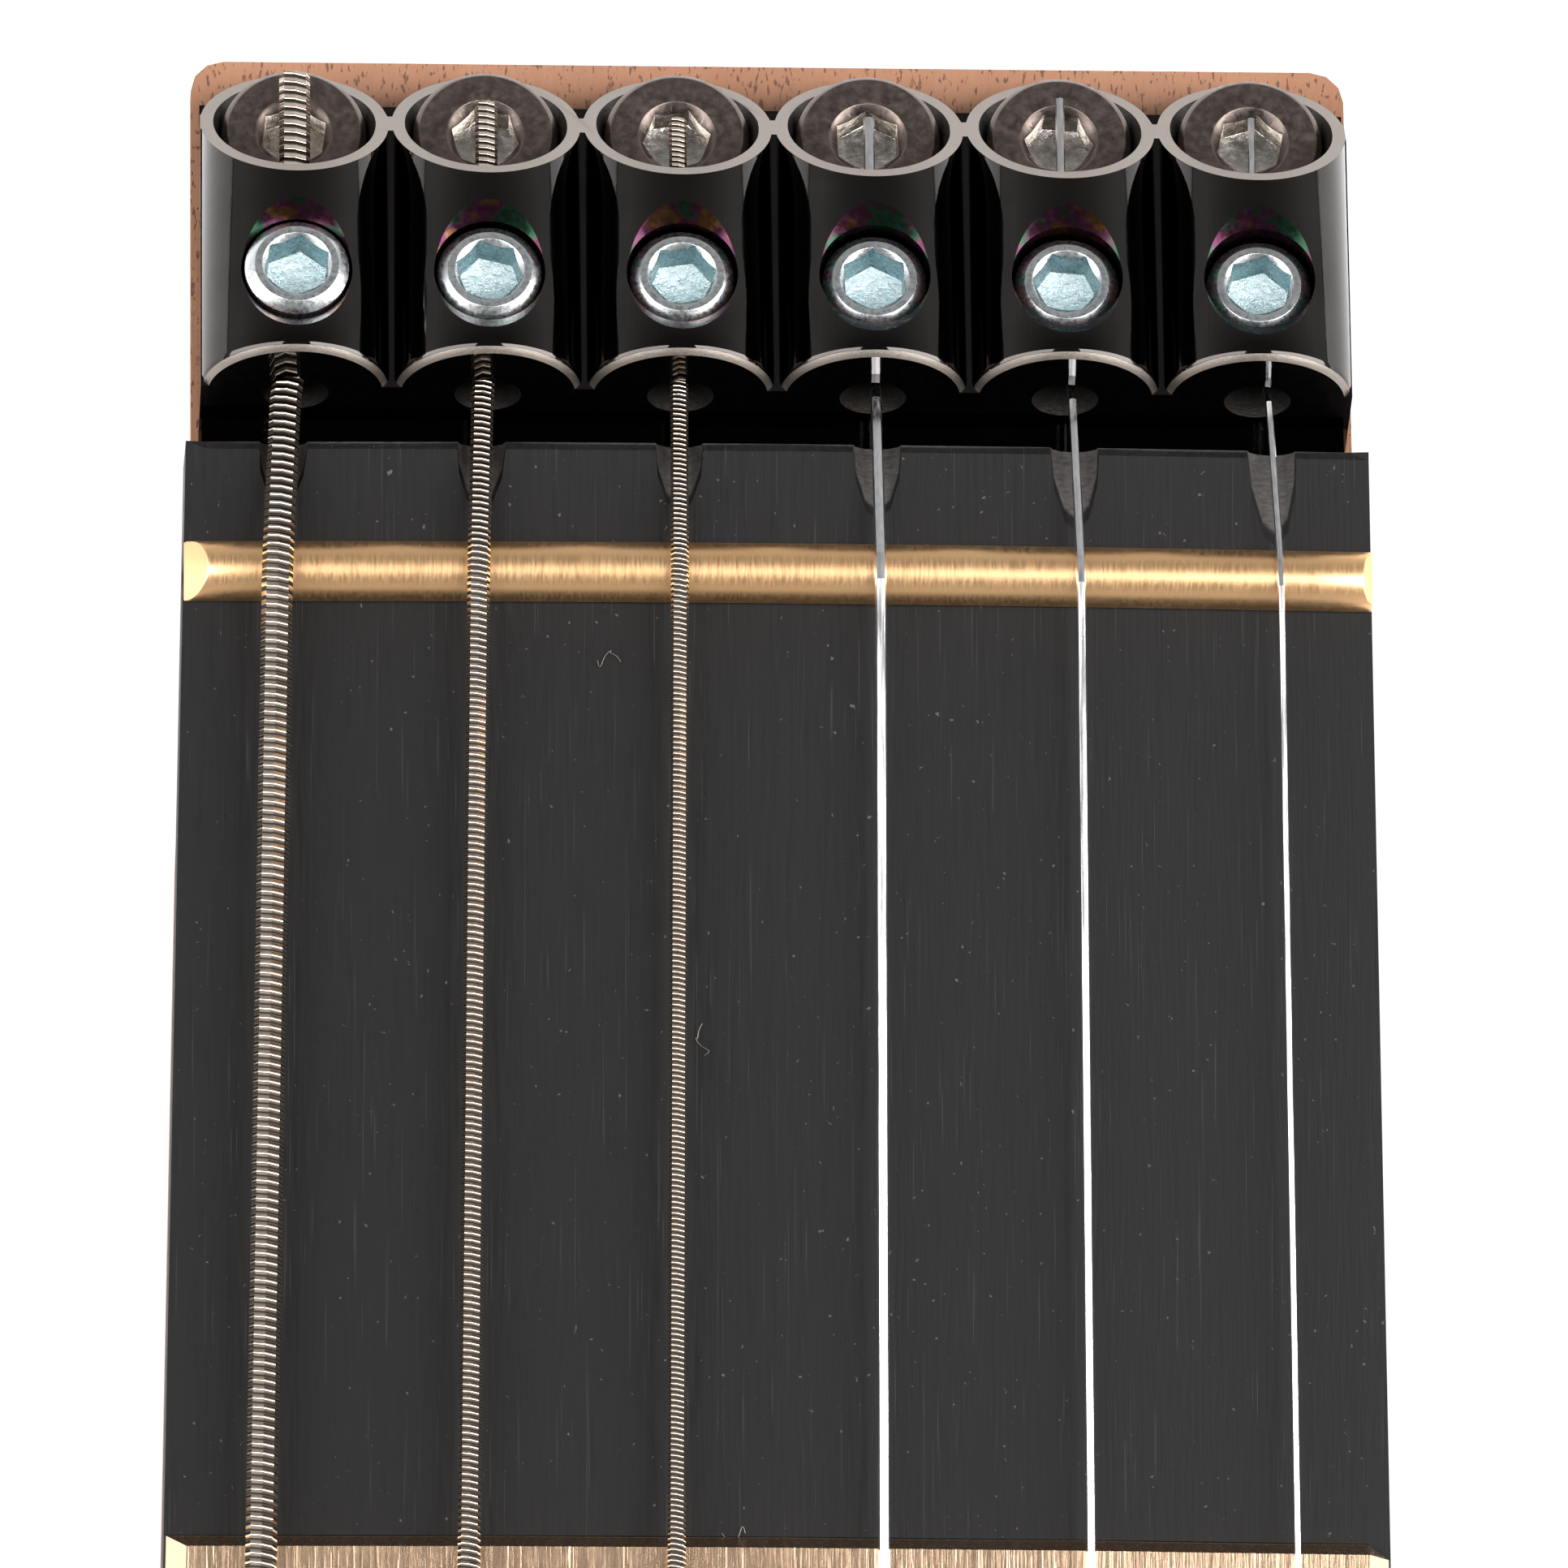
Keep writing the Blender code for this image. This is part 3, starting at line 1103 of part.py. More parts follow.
def make_strap_button(body, name, x, side):
    """A turned button on the body's edge, its screw running into the wood."""
    edge = edge_near(x, 1, side)
    place = (x, edge + side * SEAT_GAP, BODY_THICKNESS / 2)
    turn = (-side * math.pi / 2, 0, 0)
    profile = [
        (0.0, STRAP_LENGTH),
        (STRAP_RADIUS * 0.8, STRAP_LENGTH),
        (STRAP_RADIUS, STRAP_LENGTH - 0.001),
        (STRAP_RADIUS, STRAP_LENGTH - 0.0025),
        (STRAP_WAIST_RADIUS, STRAP_LENGTH * 0.6),
        (STRAP_WAIST_RADIUS, STRAP_LENGTH * 0.25),
        (STRAP_RADIUS * 0.85, 0.001),
        (STRAP_RADIUS * 0.85, 0.0),
        (STRAP_SCREW_RADIUS, 0.0),
        (STRAP_SCREW_RADIUS, -STRAP_SCREW_LENGTH),
        (0.0, -STRAP_SCREW_LENGTH - STRAP_SCREW_RADIUS),
    ]
    turned(name, profile, DARK_STEEL, SMALL_ROUND, location=place, rotation=turn)
    deep = STRAP_SCREW_LENGTH + STRAP_SCREW_RADIUS + FIT_GAP
    hole = cylinder_mesh(f"{name}_hole", STRAP_SCREW_RADIUS + RUN_GAP, -deep, 0.01, SMALL_ROUND)
    cut(body, add_object(f"{name}_hole", hole, location=place, rotation=turn))
    reach = STRAP_RADIUS * 0.85 + FIT_GAP
    seat = cylinder_mesh(f"{name}_seat", reach, -SEAT_GAP, 0.01, SMALL_ROUND)
    cut(body, add_object(f"{name}_seat", seat, location=place, rotation=turn))


def main():
    head_frame = bpy.data.objects.new("headpiece_frame", None)
    head_frame.location = head_point(0, 0, 0)
    head_frame.rotation_euler = (-HEAD_TILT, 0, 0)
    parts.objects.link(head_frame)
    neck = make_neck()
    make_truss_rod()
    make_fretboard()
    make_zero_fret()
    make_headpiece(head_frame)
    make_head_screws(head_frame, neck)
    make_strings()
    body = make_body()
    make_neck_bolts(body, neck)
    make_pickup(body, "bridge_pickup", BRIDGE_PICKUP_PLACE)
    make_pickup(body, "neck_pickup", NECK_PICKUP_PLACE)
    make_wheel_slot(body)
    make_cavity(body)
    make_control(body, "volume", VOLUME_PLACE)
    make_control(body, "tone", TONE_PLACE)
    make_switch(body)
    make_jack(body)
    make_strap_button(body, "strap_button_horn", HORN_BUTTON_X, 1)
    make_strap_button(body, "strap_button_tail", TAIL_BUTTON_X, -1)
    make_bridge()
    make_saddles()
    make_tuners()


main()
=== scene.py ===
import math

import bpy
from mathutils import Matrix, Vector


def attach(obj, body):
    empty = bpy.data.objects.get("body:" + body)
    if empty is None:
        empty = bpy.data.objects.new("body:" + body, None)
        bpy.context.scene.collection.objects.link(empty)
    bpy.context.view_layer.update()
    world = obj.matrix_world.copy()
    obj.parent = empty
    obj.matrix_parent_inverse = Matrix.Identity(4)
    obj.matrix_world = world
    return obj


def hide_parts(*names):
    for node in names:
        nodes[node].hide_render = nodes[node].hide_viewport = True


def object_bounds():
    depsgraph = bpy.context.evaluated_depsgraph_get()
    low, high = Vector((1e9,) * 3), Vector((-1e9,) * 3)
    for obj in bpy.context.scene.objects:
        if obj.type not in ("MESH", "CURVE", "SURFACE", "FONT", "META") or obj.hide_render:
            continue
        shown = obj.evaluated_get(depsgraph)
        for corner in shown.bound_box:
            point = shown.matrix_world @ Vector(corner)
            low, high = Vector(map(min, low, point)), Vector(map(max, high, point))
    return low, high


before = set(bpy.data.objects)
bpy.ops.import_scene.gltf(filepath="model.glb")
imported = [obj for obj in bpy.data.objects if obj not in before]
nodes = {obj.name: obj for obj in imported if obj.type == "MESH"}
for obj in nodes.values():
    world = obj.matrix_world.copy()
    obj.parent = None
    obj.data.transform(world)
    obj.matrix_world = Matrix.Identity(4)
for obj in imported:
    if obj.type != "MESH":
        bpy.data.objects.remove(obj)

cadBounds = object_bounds()
scene = bpy.context.scene
stringCount = 6
boltCount = 4
print("frame loaded:", len(nodes), "nodes")


# Materials

class Wire:
    # an output of one of a material's nodes, with plain maths on it
    def __init__(self, paint, socket):
        self.paint = paint
        self.socket = socket

    def __add__(self, other):
        return self.paint.maths("ADD", self, other)

    def __radd__(self, other):
        return self.paint.maths("ADD", other, self)

    def __sub__(self, other):
        return self.paint.maths("SUBTRACT", self, other)

    def __rsub__(self, other):
        return self.paint.maths("SUBTRACT", other, self)

    def __mul__(self, other):
        return self.paint.maths("MULTIPLY", self, other)

    def __rmul__(self, other):
        return self.paint.maths("MULTIPLY", other, self)

    def __truediv__(self, other):
        return self.paint.maths("DIVIDE", self, other)


class Paint:
    # one material, read in millimetres from the piece's own coordinates
    def __init__(self, name, metallic=0.0, **constants):
        self.material = bpy.data.materials.new(name)
        self.material.use_nodes = True
        self.tree = self.material.node_tree
        self.shader = self.tree.nodes["Principled BSDF"]
        self.set("Metallic", metallic)
        for label, value in constants.items():
            self.set(label.replace("_", " "), value)
        corner = self.tree.nodes.new("ShaderNodeTexCoord").outputs["Object"]
        millimetres = {0: Wire(self, corner), 1: (1000, 1000, 1000)}
        self.spot = self.node("VectorMath", millimetres, operation="MULTIPLY")
        self.x = self.node("SeparateXYZ", {0: self.spot}, 0)
        self.y = self.node("SeparateXYZ", {0: self.spot}, 1)
        self.z = self.node("SeparateXYZ", {0: self.spot}, 2)

    def plug(self, value, socket):
        if isinstance(value, Wire):
            self.tree.links.new(value.socket, socket)
        elif hasattr(socket.default_value, "__len__") and len(socket.default_value) == 4 and len(value) == 3:
            socket.default_value = (*value, 1.0)
        else:
            socket.default_value = value

    def set(self, label, value):
        self.plug(value, self.shader.inputs[label])

    def node(self, kind, inputs, out=0, **settings):
        made = self.tree.nodes.new("ShaderNode" + kind)
        for label, value in settings.items():
            setattr(made, label, value)
        for label, value in inputs.items():
            self.plug(value, made.inputs[label])
        return Wire(self, made.outputs[out])

    def maths(self, operation, first, second=0.0):
        return self.node("Math", {0: first, 1: second}, operation=operation)

    def noise(self, stretch, detail=3.0, roughness=0.5):
        place = self.node("VectorMath", {0: self.spot, 1: stretch}, operation="MULTIPLY")
        numbers = {"Vector": place, "Scale": 1.0, "Detail": detail, "Roughness": roughness}
        return self.node("TexNoise", numbers)

    def band(self, value, low, high, start=0.0, end=1.0):
        numbers = {"Value": value, "From Min": low, "From Max": high, "To Min": start, "To Max": end}
        return self.node("MapRange", numbers, interpolation_type="SMOOTHSTEP")

    def blend(self, factor, first, second):
        return self.node("Mix", {0: factor, 6: first, 7: second}, 2, data_type="RGBA")

    def bump(self, height, distance, strength=1.0):
        numbers = {"Height": height, "Distance": distance, "Strength": strength}
        self.set("Normal", self.node("Bump", numbers))


def blackChrome():
    paint = Paint("black_chrome", 1.0, Coat_Roughness=0.03, Coat_Weight=0.35)
    smear = paint.noise((0.35, 0.5, 0.35), 4)
    rub = paint.noise((14, 1.2, 14), 2)
    paint.set("Base Color", paint.blend(smear, (0.020, 0.017, 0.016), (0.042, 0.037, 0.034)))
    paint.set("Roughness", paint.band(smear, 0.35, 0.7, 0.05, 0.10) + paint.band(rub, 0.66, 0.8, 0.0, 0.05))
    paint.bump(paint.noise((2.5, 2.5, 2.5), 2), 0.000004)
    return paint.material


def satinChrome():
    paint = Paint("satin_chrome_edge", 1.0)
    grain = paint.noise((30, 3, 30), 3)
    paint.set("Base Color", paint.blend(grain, (0.17, 0.145, 0.125), (0.34, 0.30, 0.265)))
    paint.set("Roughness", paint.band(grain, 0.3, 0.7, 0.34, 0.5))
    paint.bump(grain, 0.00001)
    return paint.material


def boreBlack():
    paint = Paint("bore_black", 0.7)
    grain = paint.noise((5, 20, 5), 3)
    paint.set("Base Color", paint.blend(grain, (0.022, 0.019, 0.017), (0.060, 0.052, 0.046)))
    paint.set("Roughness", paint.band(grain, 0.3, 0.7, 0.3, 0.5))
    paint.bump(grain, 0.00001)
    return paint.material


def oiledHole():
    # the faint rainbow of oil left in the clamp holes
    paint = Paint("oiled_hole", 1.0)
    film = paint.noise((0.8, 0.8, 0.8), 2)
    tint = paint.blend(paint.band(film, 0.42, 0.52), (0.014, 0.036, 0.021), (0.050, 0.015, 0.032))
    paint.set("Base Color", paint.blend(paint.band(film, 0.56, 0.64), tint, (0.075, 0.036, 0.014)))
    paint.set("Roughness", paint.band(paint.noise((4, 4, 4), 3), 0.3, 0.7, 0.16, 0.30))
    return paint.material


def zincSteel():
    paint = Paint("zinc_plated_steel", 1.0)
    cloud = paint.noise((1.1, 1.1, 1.1), 3)
    crinkle = paint.noise((6, 6, 6), 4, 0.65)
    plain = paint.blend(crinkle, (0.54, 0.57, 0.59), (0.78, 0.80, 0.81))
    tinted = paint.blend(paint.noise((2.2, 2.2, 2.2), 1), (0.42, 0.58, 0.58), (0.62, 0.56, 0.62))
    paint.set("Base Color", paint.blend(paint.band(cloud, 0.54, 0.68, 0.0, 0.5), plain, tinted))
    paint.set("Roughness", paint.band(crinkle, 0.3, 0.7, 0.24, 0.38))
    paint.bump(crinkle, 0.000008)
    return paint.material


def zincSocket():
    paint = Paint("zinc_socket", 1.0)
    crinkle = paint.noise((5, 5, 5), 4, 0.65)
    cloud = paint.noise((1.5, 1.5, 1.5), 2)
    teal = paint.blend(cloud, (0.13, 0.24, 0.27), (0.30, 0.42, 0.44))
    paint.set("Base Color", paint.blend(paint.band(crinkle, 0.5, 0.7, 0.0, 0.4), teal, (0.62, 0.70, 0.71)))
    paint.set("Roughness", paint.band(crinkle, 0.3, 0.7, 0.18, 0.34))
    paint.bump(crinkle, 0.00003)
    return paint.material


def zincFloor():
    paint = Paint("zinc_socket_floor", 1.0)
    crinkle = paint.noise((3.2, 3.2, 3.2), 5, 0.7)
    paint.set("Base Color", paint.blend(crinkle, (0.46, 0.56, 0.58), (0.92, 0.95, 0.95)))
    paint.set("Roughness", paint.band(crinkle, 0.3, 0.7, 0.16, 0.34))
    paint.bump(crinkle, 0.00012)
    return paint.material


def brightSocket():
    paint = Paint("worn_socket", 1.0)
    scrape = paint.noise((2.4, 2.4, 2.4), 4, 0.6)
    paint.set("Base Color", paint.blend(scrape, (0.24, 0.21, 0.185), (0.74, 0.70, 0.65)))
    paint.set("Roughness", paint.band(scrape, 0.3, 0.7, 0.14, 0.30))
    paint.bump(scrape, 0.00004)
    return paint.material


def darkSteel():
    paint = Paint("dark_steel", 1.0)
    grain = paint.noise((3, 3, 3), 5, 0.6)
    wear = paint.noise((0.8, 0.8, 0.8), 3)
    tone = paint.blend(grain, (0.110, 0.086, 0.076), (0.215, 0.172, 0.152))
    paint.set("Base Color", paint.blend(paint.band(wear, 0.62, 0.74, 0.0, 0.35), tone, (0.30, 0.26, 0.23)))
    paint.set("Roughness", paint.band(grain, 0.3, 0.7, 0.28, 0.46))
    paint.bump(grain, 0.000012)
    return paint.material


def fretCopper():
    paint = Paint("copper_fret_wire", 1.0)
    streak = paint.noise((12, 1.0, 4), 3)
    cloud = paint.noise((0.25, 0.6, 0.6), 3)
    tone = paint.blend(cloud, (0.88, 0.50, 0.24), (0.97, 0.64, 0.34))
    paint.set("Base Color", paint.blend(paint.band(streak, 0.62, 0.78, 0.0, 0.35), tone, (0.62, 0.34, 0.18)))
    paint.set("Roughness", paint.band(streak, 0.3, 0.7, 0.32, 0.42))
    paint.bump(streak, 0.0000015)
    return paint.material


def woundString(index, pitch, diameter):
    paint = Paint(f"wound_string_{index}", 1.0)
    turns = paint.y / pitch + paint.x * (0.5 / diameter)
    ridge = paint.maths("ABSOLUTE", paint.maths("SINE", turns * math.pi))
    grime = paint.noise((2.0, 0.7, 2.0), 3)
    tone = paint.blend(grime, (0.42, 0.34, 0.27), (0.70, 0.61, 0.52))
    # painted shade: the grooves between the turns are painted near-black and the crests take the string's
    # tone
    paint.set("Base Color", paint.blend(paint.band(ridge, 0.0, 0.55), (0.06, 0.045, 0.035), tone))
    paint.set("Roughness", paint.band(ridge, 0.1, 0.8, 0.5, 0.2))
    paint.bump(paint.maths("POWER", ridge, 0.6), 0.00022 * pitch / 0.3)
    return paint.material


def plainString():
    paint = Paint("plain_steel_string", 1.0)
    streak = paint.noise((10, 0.3, 10), 3)
    paint.set("Base Color", paint.blend(streak, (0.62, 0.62, 0.64), (0.92, 0.92, 0.93)))
    paint.set("Roughness", paint.band(streak, 0.3, 0.7, 0.12, 0.26))
    paint.bump(streak, 0.000003)
    return paint.material


def ebonyBoard():
    paint = Paint("ebony", Specular_IOR_Level=0.22)
    boardTop, boardRadius = 51.5, 406
    lift = paint.z - (boardTop - paint.x * paint.x * (1 / (2 * boardRadius)))
    metal = paint.band(lift, 0.10, 0.14)
    pores = paint.noise((7, 0.35, 7), 3, 0.6)
    scratch = paint.band(paint.noise((16, 0.16, 3), 2), 0.66, 0.74)
    dust = paint.band(paint.noise((4.5, 4.0, 4.5), 2), 0.72, 0.77)
    wood = paint.blend(pores, (0.0035, 0.0032, 0.0032), (0.010, 0.0092, 0.0088))
    wood = paint.blend(scratch * 0.45, wood, (0.040, 0.037, 0.035))
    wood = paint.blend(dust * 0.6, wood, (0.13, 0.12, 0.115))
    filed = paint.band(paint.y, 648.95, 649.05) * paint.band(lift, -0.12, -0.2)
    wood = paint.blend(filed * paint.noise((3, 8, 3), 4), wood, (0.12, 0.11, 0.105))
    wire = paint.blend(paint.noise((12, 1, 4), 2), (0.84, 0.54, 0.35), (0.93, 0.68, 0.47))
    paint.set("Base Color", paint.blend(metal, wood, wire))
    paint.set("Metallic", metal)
    paint.set("Roughness", paint.band(pores, 0.3, 0.7, 0.46, 0.62) * (1.0 - metal * 0.55))
    paint.bump(pores * 0.7 + scratch * 0.3, 0.00002)
    return paint.material


def roastedMaple():
    paint = Paint("roasted_maple", Coat_Weight=0.08, Coat_Roughness=0.35)
    figure = paint.noise((0.30, 0.03, 0.30), 4)
    fibre = paint.noise((5, 0.16, 5), 4, 0.6)
    dashes = paint.band(paint.noise((7.5, 1.3, 7.5), 2), 0.585, 0.67)
    wood = paint.blend(figure, (0.31, 0.140, 0.076), (0.46, 0.240, 0.145))
    wood = paint.blend(fibre * 0.5, wood, (0.22, 0.095, 0.050))
    paint.set("Base Color", paint.blend(dashes * 0.75, wood, (0.090, 0.036, 0.022)))
    paint.set("Roughness", paint.band(fibre, 0.3, 0.7, 0.42, 0.6))
    paint.bump(fibre * 0.5 - dashes * 0.6, 0.00004)
    return paint.material


def walnutBody():
    paint = Paint("dark_walnut_finish", Coat_Weight=0.25, Coat_Roughness=0.22)
    warp = paint.noise((0.012, 0.004, 0.02), 3) * 9.0
    rings = paint.maths("SINE", paint.x * 0.22 + paint.z * 0.1 + warp * 3.0) * 0.5 + 0.5
    fibre = paint.noise((1.1, 0.035, 1.1), 5, 0.6)
    pores = paint.band(paint.noise((3.2, 0.16, 3.2), 2), 0.60, 0.70)
    wood = paint.blend(rings, (0.060, 0.028, 0.015), (0.155, 0.080, 0.043))
    wood = paint.blend(fibre * 0.7, wood, (0.085, 0.041, 0.022))
    paint.set("Base Color", paint.blend(pores * 0.7, wood, (0.020, 0.010, 0.006)))
    paint.set("Roughness", paint.band(fibre, 0.3, 0.7, 0.30, 0.46))
    paint.bump(fibre * 0.4 - pores * 0.6, 0.00008)
    return paint.material


def blackPlastic(name, poleTop=None):
    paint = Paint(name)
    grain = paint.noise((4, 4, 4), 4, 0.6)
    scuff = paint.band(paint.noise((0.5, 3.0, 0.5), 3), 0.60, 0.72)
    colour = paint.blend(grain, (0.012, 0.012, 0.013), (0.026, 0.026, 0.028))
    colour = paint.blend(scuff * 0.4, colour, (0.050, 0.050, 0.052))
    rough = paint.band(grain, 0.3, 0.7, 0.34, 0.50)
    if poleTop:
        metal = paint.band(paint.z, poleTop, poleTop + 0.06)
        colour = paint.blend(metal, colour, (0.62, 0.62, 0.64))
        paint.set("Metallic", metal)
        rough = rough * (1.0 - metal * 0.45)
    paint.set("Base Color", colour)
    paint.set("Roughness", rough)
    paint.bump(grain, 0.00002)
    return paint.material


chrome = blackChrome()
satin = satinChrome()
bore = boreBlack()
oiled = oiledHole()
zinc = zincSteel()
zincHole = zincSocket()
zincBottom = zincFloor()
steel = darkSteel()
steelHole = brightSocket()
copper = fretCopper()
plain = plainString()
ebony = ebonyBoard()
maple = roastedMaple()
walnut = walnutBody()
plastic = blackPlastic("black_plastic")
pickupPlastic = blackPlastic("pickup_plastic", poleTop=49.55)
windings = {1: (0.33, 1.12), 2: (0.25, 0.81), 3: (0.20, 0.64)}    # pitch and diameter in millimetres

nodePaint = {
    "body": walnut, "neck": maple, "truss_rod": steel, "truss_wheel": steel, "fretboard": ebony,
    "bridge_base": chrome, "neck_pickup": pickupPlastic, "bridge_pickup": pickupPlastic,
    "volume_pot": steel, "tone_pot": steel, "volume_knob": chrome, "tone_knob": chrome,
    "switch_body": steel, "switch_lever": chrome, "output_jack": chrome, "strap_button_horn": chrome,
    "strap_button_tail": chrome, "control_cover": plastic,
}
for number in range(1, stringCount + 1):
    nodePaint[f"saddle_{number}"] = satin
    nodePaint[f"tuner_carriage_{number}"] = chrome
    nodePaint[f"tuner_knob_{number}"] = chrome
    nodePaint[f"string_{number}"] = woundString(number, *windings[number]) if number in windings else plain
for number in range(1, boltCount + 1):
    nodePaint[f"neck_bolt_{number}"] = steel
for name, material in nodePaint.items():
    nodes[name].data.materials.clear()
    nodes[name].data.materials.append(material)
print("materials made:", len(bpy.data.materials))


# Modelling helpers

def take(piece):
    bpy.ops.object.select_all(action="DESELECT")
    piece.select_set(True)
    bpy.context.view_layer.objects.active = piece


def start(kind, name, looks=(), **size):
    bpy.ops.object.select_all(action="DESELECT")
    getattr(bpy.ops.mesh, f"primitive_{kind}_add")(**size)
    piece = bpy.context.active_object
    piece.name = name
    piece.data.name = name
    bpy.ops.object.transform_apply(location=True, rotation=True, scale=True)
    for material in looks:
        piece.data.materials.append(material)
    return piece


def pickFaces(piece, wanted):
    take(piece)
    bpy.ops.object.mode_set(mode="EDIT")
    bpy.ops.mesh.select_mode(type="FACE")
    bpy.ops.mesh.select_all(action="DESELECT")
    bpy.ops.object.mode_set(mode="OBJECT")
    for face in piece.data.polygons:
        face.select = wanted(face)
    bpy.ops.object.mode_set(mode="EDIT")


def leaveEdit():
    bpy.ops.object.mode_set(mode="OBJECT")


def tapered(piece, wanted, move, shrink):
    # pushes the chosen end on by move and draws it in, which leaves a chamfer
    pickFaces(piece, wanted)
    bpy.ops.mesh.extrude_region_move(TRANSFORM_OT_translate={"value": move})
    bpy.ops.transform.resize(value=shrink)
    leaveEdit()


def sliced(piece, spot, normal, clear=True):
    take(piece)
    bpy.ops.object.mode_set(mode="EDIT")
    bpy.ops.mesh.select_all(action="SELECT")
    bpy.ops.mesh.bisect(plane_co=spot, plane_no=normal, use_fill=clear, clear_outer=clear)
    leaveEdit()


def carved(piece, tool, operation="DIFFERENCE"):
    take(piece)
    step = piece.modifiers.new("carve", "BOOLEAN")
    step.object = tool
    step.operation = operation
    step.solver = "EXACT"
    bpy.ops.object.modifier_apply(modifier=step.name)
    bpy.data.objects.remove(tool)


def row(piece, name, places):
    # the same shape at each place, joined into one mesh
    copies = []
    for place in places:
        copy = bpy.data.objects.new(name, piece.data.copy())
        copy.data.transform(Matrix.Translation(place))
        scene.collection.objects.link(copy)
        copies.append(copy)
    bpy.data.objects.remove(piece)
    bpy.ops.object.select_all(action="DESELECT")
    for copy in copies:
        copy.select_set(True)
    bpy.context.view_layer.objects.active = copies[0]
    bpy.ops.object.join()
    return copies[0]


def paintFaces(piece, wanted, slot):
    for face in piece.data.polygons:
        if wanted(face):
            face.material_index = slot


def softEdges(piece, width, angle=35.0, segments=2):
    take(piece)
    step = piece.modifiers.new("edges", "BEVEL")
    step.width = width
    step.segments = segments
    step.limit_method = "ANGLE"
    step.angle_limit = math.radians(angle)
    bpy.ops.object.modifier_apply(modifier=step.name)


def smoothed(piece, angle=30.0):
    take(piece)
    bpy.ops.object.shade_smooth_by_angle(angle=math.radians(angle))


def settle(piece, body, slot, *stands):
    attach(piece, body)
    for name in stands:
        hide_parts(name)


# Headpiece, modelled level in its own frame and then laid on the neck's tilted end

head = {
    "tilt": 15.0, "foot": (0.0, 0.65255, 0.0463), "setback": 0.001035, "lift": 0.0001,
    "pitch": 0.00695, "radius": 0.003415, "axis": 0.00395, "reach": 0.018, "sides": 96,
    "round": 0.00018, "roundIn": 0.00006, "chamfer": 0.00020, "crest": 0.00726, "mouth": 48.0, "valley": 8.0,
    "baseEnd": 0.0116, "footEnd": 0.0127, "footRise": 0.0022,
    "lipFront": -0.00096, "lipRise": 0.0010, "lipBite": 0.001, "lipInset": 0.0001,
    "bore": 0.00295, "boreStart": 0.0066, "boreLength": 0.014, "boreTwist": 0.011,
    "pocket": 0.00269, "pocketTwist": 0.017, "mountPlace": 0.0110, "mountTop": 0.00335, "mountDepth": 0.0022,
    "stringHole": 0.0012, "stringHoleLength": 0.009, "stringHolePlace": 0.0035, "stringTwist": 0.023,
    "clampPlace": 0.00356, "clampHole": 0.00201, "clampTwist": 0.029, "clampSink": 0.00262, "sinkStart": 0.99,
}
roundSides = 72
holeSides = 48
above = 0.001       # how far a cutter stands out of what it cuts
spare = 0.0001      # and how far it goes past the bottom
headTurn = (
    Matrix.Translation(head["foot"]) @ Matrix.Rotation(-math.radians(head["tilt"]), 4, "X")
    @ Matrix.Translation((0, head["setback"], head["lift"]))
)
barrels = [(number - 2.5) * head["pitch"] for number in range(stringCount)]
lying = (math.pi / 2, 0, 0)


